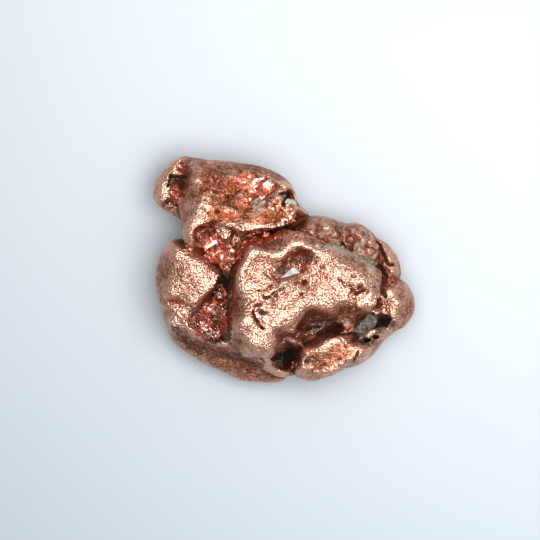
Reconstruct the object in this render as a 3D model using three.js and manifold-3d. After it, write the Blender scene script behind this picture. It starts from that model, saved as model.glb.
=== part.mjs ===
// A native copper nugget, tumbled smooth, lying on its flattest side.
//
// The copper is one piece, as it grew: a low body that carries a high pillow in the
// middle, a slab-like head with a hooked horn, a lobe on the left, a ridge along the
// back, and smaller lobes at the right and the front. Deep clefts part the lobes. Three
// crumbs of the grey rock that it grew in are still caught in hollows, and crusts of red
// cuprite crystals line the sheltered places. Each crumb and each crust is a solid.
//
// Millimetres, +Z up, +X along the longest side. The origin is under the middle of the
// bounding box, on the surface that the nugget rests on.
//
// The copper is a signed field, negative inside. Masses are joined to it, hollows are
// cut from it, and a net of quads is stretched over the places where it passes zero.

import * as THREE from "three";
import { mergeVertices } from "three/addons/utils/BufferGeometryUtils.js";
import Module from "manifold-3d";

const wasm = await Module();
wasm.setup();

// Driving dimensions.
const LENGTH = 28.8; // along X
const WIDTH = 24.8; // along Y
const HEIGHT = 12.4; // above the surface that it rests on
const GIRTH = 4.3; // height at which it is widest
const COPPER_CELL = 0.84; // spacing of the net over the copper
const GRAIN_CELL = 0.38; // and over a crumb or a crust
const GRAIN_GAP = 0.3; // clearance between a crumb or a crust and the copper round it
const SOCKET_RISE = 1.2; // how far a socket is opened upwards, so that nothing bridges it
const NET_MARGIN = 2 * COPPER_CELL; // empty space kept round the copper when it is netted

// ---------------------------------------------------------------- fields of simple solids

// Distance from (x, y) to a closed outline, negative inside it.
function outlineDistance(points, x, y) {
  let nearest = Infinity;
  let inside = false;
  for (let i = 0, j = points.length - 1; i < points.length; j = i++) {
    const a = points[j];
    const b = points[i];
    const dx = b.x - a.x;
    const dy = b.y - a.y;
    const along = THREE.MathUtils.clamp(((x - a.x) * dx + (y - a.y) * dy) / (dx * dx + dy * dy), 0, 1);
    nearest = Math.min(nearest, Math.hypot(x - a.x - along * dx, y - a.y - along * dy));
    if (a.y > y !== b.y > y && x < (dx * (y - a.y)) / dy + a.x) inside = !inside;
  }
  return inside ? -nearest : nearest;
}

// Near enough the distance to an ellipsoid, from a point given in units of its radii. A
// power above 2 gives it a flatter top and fuller shoulders.
function scaledDistance(unit, radii, power = 2) {
  const raised = (exponent) => unit.toArray().map((share) => Math.abs(share) ** exponent);
  const [a, b, c] = raised(power);
  const reach = Math.max((a + b + c) ** (1 / power), 1e-3);
  const slope = Math.max(new THREE.Vector3(...raised(power - 1)).divide(radii).length(), 1e-6);
  return ((reach - 1) * reach ** (power - 1)) / slope;
}

// A pebble with a smooth outline seen from above. Its side bulges furthest at the height
// mid, and rounds over to its top and its bottom within the width edge. The top may
// lean: lean gives its rise per millimetre along X and along Y.
function pebble({ outline, mid, top, bottom, edge, lean = [0, 0], power = 2 }) {
  const corners = outline.map(([x, y]) => new THREE.Vector3(x, y, 0));
  const loop = new THREE.CatmullRomCurve3(corners, true, "catmullrom", 0.5);
  const points = loop.getPoints(outline.length * 5).slice(0, -1);
  const centre = new THREE.Box3().setFromPoints(points).getCenter(new THREE.Vector3());
  return (p) => {
    const lip = top + lean[0] * (p.x - centre.x) + lean[1] * (p.y - centre.y);
    const half = p.z > mid ? lip - mid : mid - bottom;
    const inwards = Math.max(outlineDistance(points, p.x, p.y) + edge, 0);
    return scaledDistance(
      new THREE.Vector3(inwards / edge, 0, Math.abs(p.z - mid) / half),
      new THREE.Vector3(edge, 1, half),
      power,
    );
  };
}

// An ellipsoid turned about Z by so many degrees.
function egg(centre, radii, turn = 0) {
  const middle = new THREE.Vector3(...centre);
  const size = new THREE.Vector3(...radii);
  const up = new THREE.Vector3(0, 0, 1);
  const angle = -THREE.MathUtils.degToRad(turn);
  return (p) => scaledDistance(p.clone().sub(middle).applyAxisAngle(up, angle).divide(size), size);
}

// A round rope through points [x, y, z, radius].
function rope(...knots) {
  const places = knots.map(([x, y, z]) => new THREE.Vector3(x, y, z));
  return (p) => {
    let nearest = Infinity;
    for (let i = 1; i < knots.length; i++) {
      const span = places[i].clone().sub(places[i - 1]);
      const reach = p.clone().sub(places[i - 1]).dot(span) / span.lengthSq();
      const share = THREE.MathUtils.clamp(reach, 0, 1);
      const radius = THREE.MathUtils.lerp(knots[i - 1][3], knots[i][3], share);
      nearest = Math.min(nearest, p.distanceTo(places[i - 1].clone().addScaledVector(span, share)) - radius);
    }
    return nearest;
  };
}

// The lower of two fields, rounded off over the width blend where they meet.
function joined(a, b, blend) {
  const share = THREE.MathUtils.clamp(0.5 + (0.5 * (b - a)) / blend, 0, 1);
  return THREE.MathUtils.lerp(b, a, share) - blend * share * (1 - share);
}

const cut = (a, b, blend) => -joined(-a, b, blend);

// A slow waviness, as growth and tumbling leave it, by which every place is shifted
// before its masses are looked up. It grows away from the girth, where the outlines
// are at their true size.
function waved({ x, y, z }) {
  const away = (z - GIRTH) / GIRTH;
  return new THREE.Vector3(
    x + away * (0.35 * Math.sin(0.6 * y + 0.5 * z + 1) + 0.2 * Math.sin(1.4 * y - 0.8 * x)),
    y + away * (0.35 * Math.sin(0.6 * x - 0.5 * z + 2) + 0.2 * Math.sin(1.3 * x + 1.1 * y)),
    z + 0.16 * Math.sin(0.8 * x + 0.7 * y) + 0.1 * Math.sin(1.6 * x - 1.8 * y + 1),
  );
}

// ---------------------------------------------------------------- masses of copper

// Each mass has the width, blend, over which it runs into the masses before it.
const MASSES = {
  low_body: {
    blend: 0.4,
    field: pebble({
      outline: [
        [-10.5, -0.5], [-9.5, -5], [-7, -8.5], [-2, -10.6], [0.4, -10.8], [2, -10.5], [6, -9.5], [10, -7],
        [11.6, -4], [11, 1], [8, 3.6], [4, 4.6], [1, 6], [0, 8.5], [-4, 10], [-9, 10], [-9.4, 6], [-9.3, 3],
      ],
      mid: 2.9, top: 6, bottom: 0.8, edge: 2.6,
    }),
  },
  front_skirt: {
    blend: 0.6,
    field: pebble({
      outline: [
        [-12.6, -4.6], [-12.45, -6.1], [-12, -7.6], [-10.8, -9], [-9, -10.1], [-7.2, -10.95], [-5.5, -11.65],
        [-3.8, -12.2], [-2, -12.4], [-0.4, -12.25], [0.6, -11.7], [0.8, -10.9], [0, -9.5], [0.5, -5],
        [-4, -3], [-9, -3],
      ],
      mid: 2.9, top: 5.9, bottom: 0.5, edge: 2.4, lean: [0.02, 0.42],
    }),
  },
  left_lobe: {
    blend: 0.4,
    field: pebble({
      outline: [
        [-13.75, -0.5], [-13.45, 1.1], [-12.7, 2.7], [-11.5, 3.5], [-10.2, 3.2], [-8.8, 2.2], [-7.6, 0.9],
        [-6.9, -0.3], [-7.4, -1.8], [-8.3, -3.4], [-9.6, -4.2], [-11.5, -4.3], [-13, -3.6], [-13.6, -2.1],
      ],
      mid: 4.4, top: 9, bottom: 0.8, edge: 2.3, lean: [0.08, 0.03], power: 2.6,
    }),
  },
  left_ledge: {
    blend: 1.3,
    field: pebble({
      outline: [
        [-12.95, -3.7], [-12.6, -5.5], [-11.6, -6.9], [-10.2, -7.7], [-8.2, -8.2], [-6, -8.4], [-5.5, -7.3],
        [-8.2, -7], [-9.2, -6.2], [-8.8, -4.9], [-8.2, -3.6], [-10.5, -3.4],
      ],
      mid: 4.4, top: 7.9, bottom: 1.4, edge: 1.5, lean: [0.12, 0.06], power: 2.6,
    }),
  },
  head: {
    blend: 0.5,
    field: pebble({
      outline: [
        [-10.8, 11.5], [-9.8, 12.25], [-8, 12.15], [-6, 11.95], [-3.6, 11.5], [-1.4, 10.75], [0.4, 9.8],
        [1.3, 8.5], [1.8, 7.4], [2.9, 6.2], [1.9, 5.6], [0.9, 4.9], [-0.5, 4.4], [-2, 4.8], [-3.8, 4.3],
        [-5.2, 4.7], [-6.2, 5.1], [-7, 4.2], [-7.9, 3], [-9, 1.8], [-10.4, 2.4], [-10.9, 3.9], [-11, 5.2],
        [-11.2, 6.6], [-10.9, 8.2], [-10.9, 9.8],
      ],
      mid: 4.6, top: 9.2, bottom: 0.9, edge: 2.2, lean: [-0.02, -0.3], power: 2.6,
    }),
  },
  // The lower edge of the head, which overhangs the neck.
  head_brow: {
    blend: 0.5,
    field: pebble({
      outline: [
        [-8.6, 4.6], [-7.6, 4.95], [-6.2, 4.7], [-4.9, 4.25], [-4, 3.85], [-3.3, 4.3], [-2, 4.6], [-1.2, 4.3],
        [-0.1, 4.25], [0.6, 4.35], [1.7, 5.7], [1, 6.8], [-3, 7], [-8, 6.6],
      ],
      mid: 7.2, top: 9.2, bottom: 5.9, edge: 0.5, lean: [-0.02, -0.05], power: 2.6,
    }),
  },
  // The side of the left lobe along the cleft.
  lobe_brow: {
    blend: 0.5,
    field: pebble({
      outline: [
        [-11, 1.5], [-8.6, 1.2], [-7.4, -0.2], [-7.1, -1.2], [-7.4, -2.1], [-8, -3.2], [-8.8, -4.1],
        [-10.5, -3.9], [-11.5, -2],
      ],
      mid: 7, top: 8.9, bottom: 5, edge: 0.8, lean: [0, 0.12], power: 2.4,
    }),
  },
  back_ridge: {
    blend: 0.5,
    field: pebble({
      outline: [
        [0.6, 4.2], [1.6, 5.4], [3, 5.95], [5, 5.65], [7, 5.1], [8.3, 5.15], [9.5, 4.4], [10.5, 3.3],
        [10.9, 2.2], [10.8, 0.8], [10.3, -0.3], [8.5, 0.2], [6, 1.4], [3.5, 2.4],
      ],
      mid: 4.2, top: 8.3, bottom: 1, edge: 2.4, lean: [-0.04, -0.12],
    }),
  },
  back_lump: {
    blend: 0.3,
    field: pebble({
      outline: [
        [10.1, 3.4], [11.5, 2.9], [12.4, 1.8], [12.95, 0.5], [12.85, -0.8], [11.5, -1.4], [10.6, -0.4],
        [10.1, 1.7],
      ],
      mid: 4.2, top: 7.1, bottom: 1.4, edge: 1.8,
    }),
  },
  right_knob: {
    blend: 0.3,
    field: pebble({
      outline: [
        [10.6, -1.3], [12.1, -0.9], [13.5, -1.5], [14.3, -2.6], [14.5, -4], [14.15, -5.2], [13.35, -6.15],
        [12.3, -6.4], [11.1, -5.7], [10.2, -4.6], [9.9, -3],
      ],
      mid: 4.2, top: 7.5, bottom: 1.2, edge: 2.4,
    }),
  },
  front_right_lobe: {
    blend: 0.3,
    field: pebble({
      outline: [
        [1.1, -9.2], [1.2, -11], [2.2, -11.9], [3.6, -12.1], [5.3, -11.4], [7, -10.7], [8.8, -10.05],
        [9.8, -9], [9.3, -7.6], [8.2, -6.9], [6.8, -6.2], [5, -6.5], [3.2, -7.3], [1.9, -8],
      ],
      mid: 3.9, top: 8.5, bottom: 0.8, edge: 1.5, lean: [0, 0.1], power: 2.2,
    }),
  },
  pocket_wall: {
    blend: 0.4,
    field: pebble({
      outline: [
        [7.4, -9.8], [9.7, -9.3], [11, -8], [12.3, -6.7], [12.9, -5.7], [12.4, -4.4], [9.8, -3.4],
        [7, -4.4], [6.6, -8],
      ],
      mid: 3.8, top: 7.6, bottom: 0.9, edge: 1.8,
    }),
  },
  pillow: {
    blend: 0.4,
    field: pebble({
      outline: [
        [-5.9, -1.5], [-5.5, 0.5], [-4.4, 2.4], [-2.3, 3.7], [0.5, 4.1], [3.5, 3.8], [6, 2.9], [8.3, 1.6],
        [10, 0.2], [10.9, -1.5], [10.6, -3.2], [9.3, -4.3], [7, -4.9], [4, -5.5], [2.3, -6.4], [1.6, -7.8],
        [0.4, -8.6], [-0.8, -9.2], [-2.2, -9.7], [-4.2, -9.2], [-5.8, -7.4], [-6.05, -4.5],
      ],
      mid: 5.2, top: 11.6, bottom: 1, edge: 2.2, lean: [-0.09, 0.05], power: 2.8,
    }),
  },
  // A fold in front of the pillow, by which it runs down to the skirt.
  front_apron: {
    blend: 0.9,
    field: pebble({
      outline: [
        [-5.9, -4.6], [-5.95, -6.8], [-6.4, -8.6], [-4.6, -9.4], [-2.9, -10.3], [-1.7, -10.8], [-0.9, -10.2],
        [-0.6, -8.4], [-0.6, -5.6], [-2.5, -4.2],
      ],
      mid: 4.4, top: 8.2, bottom: 1, edge: 1.4, lean: [0.08, 0.18], power: 3,
    }),
  },
  // The pillow's steep front, and the plate above the front hole.
  front_buttress: {
    blend: 0.5,
    field: pebble({
      outline: [
        [-3, -3.5], [2.4, -3.8], [2.7, -5.2], [2.4, -6.3], [2.5, -7], [1.6, -7.6], [0.2, -7.2], [-1.2, -7.2],
        [-2.6, -6.5],
      ],
      mid: 5, top: 11.1, bottom: 2, edge: 0.9, lean: [-0.06, 0.06], power: 2.6,
    }),
  },
  front_plate: { blend: 0.4, field: egg([0.5, -7.9, 7.4], [1.4, 0.9, 1.9]) },
  // The pillow's slope down to the pocket.
  right_flank: {
    blend: 0.6,
    field: pebble({
      outline: [[5.6, -3.6], [9.4, -3], [10, -4.5], [9, -5.2], [8.2, -6.2], [7.2, -6.7], [6.4, -6.2]],
      mid: 4.5, top: 8.9, bottom: 2, edge: 1, lean: [0, 0.9], power: 2.4,
    }),
  },
  // The rim that curls round the front hole.
  front_lip: {
    blend: 0.8,
    field: rope(
      [-1.6, -9, 8, 0.75], [-2, -9.8, 7.1, 0.8], [-1.5, -10.6, 6.3, 0.85], [-0.3, -11.1, 5.4, 0.8],
      [0.55, -11.2, 4.4, 0.6],
    ),
  },
  horn: {
    blend: 0.6,
    field: rope(
      [-9.6, 10.4, 5, 1.9], [-10.7, 10.8, 4.9, 1.65], [-11.9, 10.1, 4.8, 1.6], [-12.6, 9.1, 4.7, 1.5],
      [-12.8, 8.2, 4.5, 1.4], [-12.5, 7.6, 4.3, 1.25], [-11.2, 6.8, 4.2, 1.1],
    ),
  },
  // Worn bumps underneath, on which the nugget stands.
  left_foot: { blend: 0.8, field: egg([-7.6, -5.4, 1.6], [3.2, 2.7, 2], 25) },
  right_foot: { blend: 0.8, field: egg([7.6, -5, 1.6], [3.2, 2.6, 2], -20) },
  back_foot: { blend: 0.8, field: egg([-3.2, 7, 1.7], [3.4, 2.4, 2.1], -10) },
  belly: { blend: 0.9, field: egg([3.6, -0.6, 2], [4, 2.4, 1.6], 30) },
};

// ---------------------------------------------------------------- clefts and hollows

// Each hollow has the width, blend, over which its mouth is rounded.
const HOLLOWS = {
  // From the neck down between the left lobe and the pillow.
  long_cleft: {
    blend: 0.4,
    field: rope(
      [-7.9, 3, 9, 1.4], [-6.6, 1.6, 8.6, 1.4], [-6.5, -0.6, 8.1, 0.7], [-6.9, -2.8, 7.9, 0.9],
      [-7.6, -5, 8.1, 1.4], [-7.8, -6.4, 8.2, 1.2],
    ),
  },
  // Its branch, which undercuts the lip of the head.
  lip_cleft: {
    blend: 0.3,
    field: rope([-5.8, 2.5, 8.2, 1], [-3.7, 3.4, 7.8, 0.8], [-1.2, 4, 7.7, 0.55], [0.5, 4.1, 8.1, 0.4]),
  },
  // A broad crater in the pillow, with a deeper end.
  crater: { blend: 1, field: egg([0.5, 0.3, 13.9], [4.7, 2.1, 3], 4) },
  crater_end: { blend: 0.6, field: egg([1.4, 0.35, 12.5], [3.1, 1.3, 2.3], 12) },
  front_hole: { blend: 0.2, field: egg([0.65, -9.7, 7.4], [0.7, 1.3, 5.4], -14) },
  front_hole_branch: { blend: 0.2, field: egg([-0.5, -9.5, 8], [1, 0.45, 3.6], 28) },
  // The pocket: the bed of the rock, and an open pit beside it.
  pocket_bed: { blend: 0.2, field: egg([9.2, -6.3, 7.9], [1.8, 0.95, 2.4], 48) },
  pocket_pit: { blend: 0.2, field: egg([11.1, -5.7, 7.4], [1.3, 0.7, 3.4], 12) },
  horn_recess: { blend: 0.3, field: egg([-11.5, 8.8, 7.2], [0.9, 1.4, 2.4]) },
  front_groove: {
    blend: 0.4,
    field: rope([2.2, -7.5, 8.2, 0.35], [3.4, -6.5, 8.1, 0.45], [5.4, -6, 8, 0.4], [6.9, -6.5, 7.9, 0.35]),
  },
  head_dish: { blend: 0.4, field: egg([-2.9, 9.3, 9.6], [2.2, 1.3, 1.5], -15) },
  shoulder_hole: { blend: 0.3, field: egg([0.7, 7.6, 8.3], [1, 0.8, 1.5], -10) },
  // Underneath, between the bumps.
  middle_hollow: { blend: 0.8, field: egg([-1.2, 1, 0.2], [4.2, 2.6, 1.8], 20) },
  left_hollow: { blend: 0.6, field: egg([-9.6, 3.4, 0.6], [2.4, 2, 1.6], 60) },
  front_hollow: { blend: 0.6, field: egg([0.6, -7.6, 0.3], [2.6, 2.2, 1.6]) },
  right_hollow: { blend: 0.6, field: egg([9, 1.4, 0.7], [2.4, 1.7, 1.5], -30) },
};

// ---------------------------------------------------------------- crumbs and crusts

const ROCK_CRUMBS = {
  // Packed into the pocket at the front right.
  pocket_rock: egg([9.2, -6.3, 5.6], [1.7, 1.05, 1.4], 48),
  // Wedged across the crater in the pillow.
  crater_rock: egg([1.1, -0.2, 10.5], [1.3, 0.75, 0.65], 18),
  // Caught in a hole at the right shoulder of the head.
  shoulder_rock: egg([0.7, 7.6, 7.3], [0.9, 0.7, 0.8], -10),
};

const CUPRITE_CRUSTS = {
  // A glassy crust down the neck, where it runs into the cleft.
  neck_cuprite: rope([-7.9, 3.2, 6.9, 0.75], [-7.2, 2, 6.1, 0.7], [-6.2, 1.3, 6.1, 0.7]),
  // A crust under the lip of the head.
  lip_cuprite: rope([-4.6, 2.7, 6.3, 0.6], [-3.2, 3.6, 6.2, 0.6], [-1.7, 4, 6.9, 0.5]),
  // A dark red crust along the cleft.
  cleft_cuprite: rope([-6.7, -3, 6.5, 0.5], [-7.1, -4.4, 6.9, 0.7], [-7.9, -6.2, 6.6, 0.9]),
  // A crust in the dish of the head.
  dish_cuprite: egg([-2.9, 9.3, 8.4], [1.7, 1, 0.55], -15),
};

const INLAYS = Object.values({ ...ROCK_CRUMBS, ...CUPRITE_CRUSTS });

function copperField(place) {
  const p = waved(place);
  let field = Infinity;
  for (const mass of Object.values(MASSES)) {
    field = field === Infinity ? mass.field(p) : joined(field, mass.field(p), mass.blend);
  }
  for (const hollow of Object.values(HOLLOWS)) field = cut(field, hollow.field(p), hollow.blend);
  for (const inlay of INLAYS) {
    for (const share of [0, 0.5, 1]) {
      const lower = place.clone().setZ(place.z - share * SOCKET_RISE);
      field = Math.max(field, GRAIN_GAP - inlay(lower));
    }
  }
  return field;
}

// ---------------------------------------------------------------- net over a field

// A square of the grid whose corners are inside and outside by turns would pinch the
// surface to a line. The shallower of its two outer corners is drawn just inside, until
// no such square is left.
function fillPinches(values, strides) {
  const JUST_INSIDE = -1e-2;
  const [right, back, up] = strides;
  let pinched = true;
  while (pinched) {
    pinched = false;
    for (let at = 0; at < values.length - back - up; at++) {
      for (const [u, v] of [[right, back], [back, up], [up, right]]) {
        const corners = [at, at + u, at + u + v, at + v];
        const inside = corners.map((corner) => values[corner] < 0);
        if (inside[0] !== inside[2] || inside[1] !== inside[3] || inside[0] === inside[1]) continue;
        const outer = corners.filter((corner, n) => !inside[n]);
        outer.sort((a, b) => values[a] - values[b]);
        values[outer[0]] = JUST_INSIDE;
        pinched = true;
      }
    }
  }
}

// A closed mesh over the places where a field is zero, inside a box: a vertex in each
// cell that the surface passes through, and a quad round each grid edge that it crosses.
function net(field, box, cell) {
  const count = box.getSize(new THREE.Vector3()).divideScalar(cell).ceil().addScalar(1).toArray();
  const strides = [1, count[0], count[0] * count[1]];
  const pointAt = (i, j, k) => new THREE.Vector3(i, j, k).multiplyScalar(cell).add(box.min);
  const spotAt = (i, j, k) => i + j * strides[1] + k * strides[2];
  const values = new Float64Array(count[0] * count[1] * count[2]);
  const everyCell = (from, visit) => {
    for (let k = from; k < count[2] - 1; k++)
      for (let j = from; j < count[1] - 1; j++)
        for (let i = from; i < count[0] - 1; i++) visit(i, j, k);
  };
  values.fill(Infinity);
  everyCell(1, (i, j, k) => (values[spotAt(i, j, k)] = field(pointAt(i, j, k))));
  fillPinches(values, strides);

  const corners = [...Array(8).keys()].map((n) => [n & 1, (n >> 1) & 1, n >> 2]);
  const edges = [0, 1, 2].flatMap((axis) =>
    corners.flatMap((corner, n) => (corner[axis] ? [] : [[n, n | (1 << axis)]])),
  );
  const places = [];
  const vertexIn = new Map();
  everyCell(0, (i, j, k) => {
    const value = corners.map(([a, b, c]) => values[spotAt(i + a, j + b, k + c)]);
    const crossed = edges.filter(([a, b]) => value[a] < 0 !== value[b] < 0);
    if (!crossed.length) return;
    const sum = new THREE.Vector3();
    for (const [a, b] of crossed) {
      const share = value[a] / (value[a] - value[b]);
      sum.add(new THREE.Vector3(...corners[a]).lerp(new THREE.Vector3(...corners[b]), share));
    }
    vertexIn.set(spotAt(i, j, k), places.length);
    places.push(pointAt(i, j, k).addScaledVector(sum, cell / crossed.length));
  });

  const index = [];
  everyCell(1, (i, j, k) => {
    const at = spotAt(i, j, k);
    for (const axis of [0, 1, 2]) {
      const inside = values[at] < 0;
      if (inside === values[at + strides[axis]] < 0) continue;
      const u = strides[(axis + 1) % 3];
      const v = strides[(axis + 2) % 3];
      const ring = [at - u - v, at - v, at, at - u].map((spot) => vertexIn.get(spot));
      if (!inside) ring.reverse();
      const [a, b, c, d] = ring;
      const shorter = places[a].distanceTo(places[c]) < places[b].distanceTo(places[d]);
      index.push(...(shorter ? [a, b, c, a, c, d] : [a, b, d, b, c, d]));
    }
  });
  return new THREE.BufferGeometry().setFromPoints(places).setIndex(index);
}

// ---------------------------------------------------------------- solids

function solidOf(geometry) {
  const bare = geometry.clone();
  bare.deleteAttribute("normal");
  bare.deleteAttribute("uv");
  const merged = mergeVertices(bare);
  const vertProperties = merged.getAttribute("position").array;
  const triVerts = new Uint32Array(merged.index.array);
  return new wasm.Manifold(new wasm.Mesh({ numProp: 3, vertProperties, triVerts }));
}

function geometryOf(solid) {
  const mesh = solid.getMesh();
  return new THREE.BufferGeometry()
    .setAttribute("position", new THREE.BufferAttribute(new Float32Array(mesh.vertProperties), 3))
    .setIndex(new THREE.BufferAttribute(new Uint32Array(mesh.triVerts), 1));
}

const ROOM = new THREE.Box3(
  new THREE.Vector3(-LENGTH / 2, -WIDTH / 2, 0),
  new THREE.Vector3(LENGTH / 2, WIDTH / 2, HEIGHT),
);

// Copper: its net, cut off level where the worn bumps meet the surface below.
function copperGeometry() {
  const skin = net(copperField, ROOM.clone().expandByScalar(NET_MARGIN), COPPER_CELL);
  const below = new THREE.BoxGeometry(2 * LENGTH, 2 * WIDTH, HEIGHT).translate(0, 0, -HEIGHT / 2);
  return geometryOf(solidOf(skin).subtract(solidOf(below)));
}

const copper = { color: 0xb87a60, roughness: 0.38, metalness: 1 };
const rock = { color: 0x8f8f80, roughness: 0.85, metalness: 0 };
const cuprite = { color: 0xa5281a, roughness: 0.2, metalness: 0 };

const nugget = new THREE.Group();

function addPiece(name, geometry, finish) {
  const piece = new THREE.Mesh(geometry, new THREE.MeshStandardMaterial(finish));
  piece.name = name;
  nugget.add(piece);
}

function addGrains(grains, finish) {
  for (const [name, field] of Object.entries(grains)) addPiece(name, net(field, ROOM, GRAIN_CELL), finish);
}

addPiece("copper_nugget", copperGeometry(), copper);
addGrains(ROCK_CRUMBS, rock);
addGrains(CUPRITE_CRUSTS, cuprite);

export default nugget;
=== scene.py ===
import math

import bpy
import numpy as np
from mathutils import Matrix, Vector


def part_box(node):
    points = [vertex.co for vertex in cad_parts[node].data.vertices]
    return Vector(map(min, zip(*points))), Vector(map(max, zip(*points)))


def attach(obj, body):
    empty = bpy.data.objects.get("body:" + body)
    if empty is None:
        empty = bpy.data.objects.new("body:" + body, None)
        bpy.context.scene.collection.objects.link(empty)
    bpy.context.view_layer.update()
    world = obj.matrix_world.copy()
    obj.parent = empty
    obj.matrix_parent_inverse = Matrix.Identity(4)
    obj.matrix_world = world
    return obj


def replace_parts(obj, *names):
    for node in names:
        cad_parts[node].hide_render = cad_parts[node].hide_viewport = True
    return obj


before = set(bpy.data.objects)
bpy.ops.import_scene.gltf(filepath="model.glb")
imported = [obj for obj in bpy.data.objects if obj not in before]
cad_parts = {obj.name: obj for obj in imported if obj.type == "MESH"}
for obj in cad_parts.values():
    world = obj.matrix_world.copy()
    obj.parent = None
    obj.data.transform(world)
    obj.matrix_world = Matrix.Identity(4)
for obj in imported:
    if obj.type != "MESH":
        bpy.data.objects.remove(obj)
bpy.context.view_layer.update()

# ---------------------------------------------------------------------- native copper
# The nugget itself: one piece of native copper, grown in lobes and folds, then tumbled
# until its skin was peened satin smooth. It is drawn as a field, negative inside, that
# masses are joined to and hollows are cut from, and a fine net is stretched over it.

MM = 0.001
CELL = 0.13  # spacing of the net over the copper, mm
GIRTH = 4.3  # height at which the nugget is widest, mm
TRIANGLES = 192_000  # of the finished copper mesh

copper_low, copper_high = (np.array(corner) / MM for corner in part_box("copper_nugget"))
room = 5 * CELL
axes = [
    np.arange(low - room, high + room, CELL, dtype=np.float32) for low, high in zip(copper_low, copper_high)
]
X, Y, Z = np.meshgrid(*axes, indexing="ij", sparse=True)


def eased(share):
    """0 to 1 with soft ends, as share goes from 0 to 1."""
    share = np.clip(share, 0, 1)
    return share * share * (3 - 2 * share)


def smooth_loop(outline, steps=5):
    """A closed curve through the outline's points."""
    start = np.array(outline, np.float32)
    before, end, after = (np.roll(start, shift, axis=0) for shift in (1, -1, -2))
    curve = []
    for share in np.arange(steps) / steps:
        bend = 2 * before - 5 * start + 4 * end - after
        twist = 3 * start - before - 3 * end + after
        curve.append(start + 0.5 * ((end - before) * share + bend * share**2 + twist * share**3))
    return np.stack(curve, axis=1).reshape(-1, 2)


def along_trail(points, x, y, closed=False):
    """Distance from each place to the nearest stretch of a trail, and to its left side."""
    starts = np.asarray(points, np.float32)
    ends = np.roll(starts, -1, axis=0)
    if not closed:
        starts, ends = starts[:-1], ends[:-1]
    nearest = np.full(np.broadcast(x, y).shape, np.inf, np.float32)
    left = np.zeros_like(nearest)
    for (ax, ay), (bx, by) in zip(starts, ends):
        dx, dy = bx - ax, by - ay
        share = np.clip(((x - ax) * dx + (y - ay) * dy) / (dx * dx + dy * dy), 0, 1)
        away = np.hypot(x - ax - share * dx, y - ay - share * dy)
        side = (dx * (y - ay) - dy * (x - ax)) / math.hypot(dx, dy)
        closer = away < nearest
        nearest = np.where(closer, away, nearest)
        left = np.where(closer, side, left)
    return nearest, left


def depth_inside(outline, x, y):
    """How far each place is inside a smooth outline, negative outside it."""
    loop = smooth_loop(outline)
    nearest, _ = along_trail(loop, x, y, closed=True)
    inside = np.zeros(nearest.shape, bool)
    for (ax, ay), (bx, by) in zip(loop, np.roll(loop, -1, axis=0)):
        if ay != by:
            inside ^= ((ay > y) != (by > y)) & (x < (bx - ax) * (y - ay) / (by - ay) + ax)
    return np.where(inside, nearest, -nearest)


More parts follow.
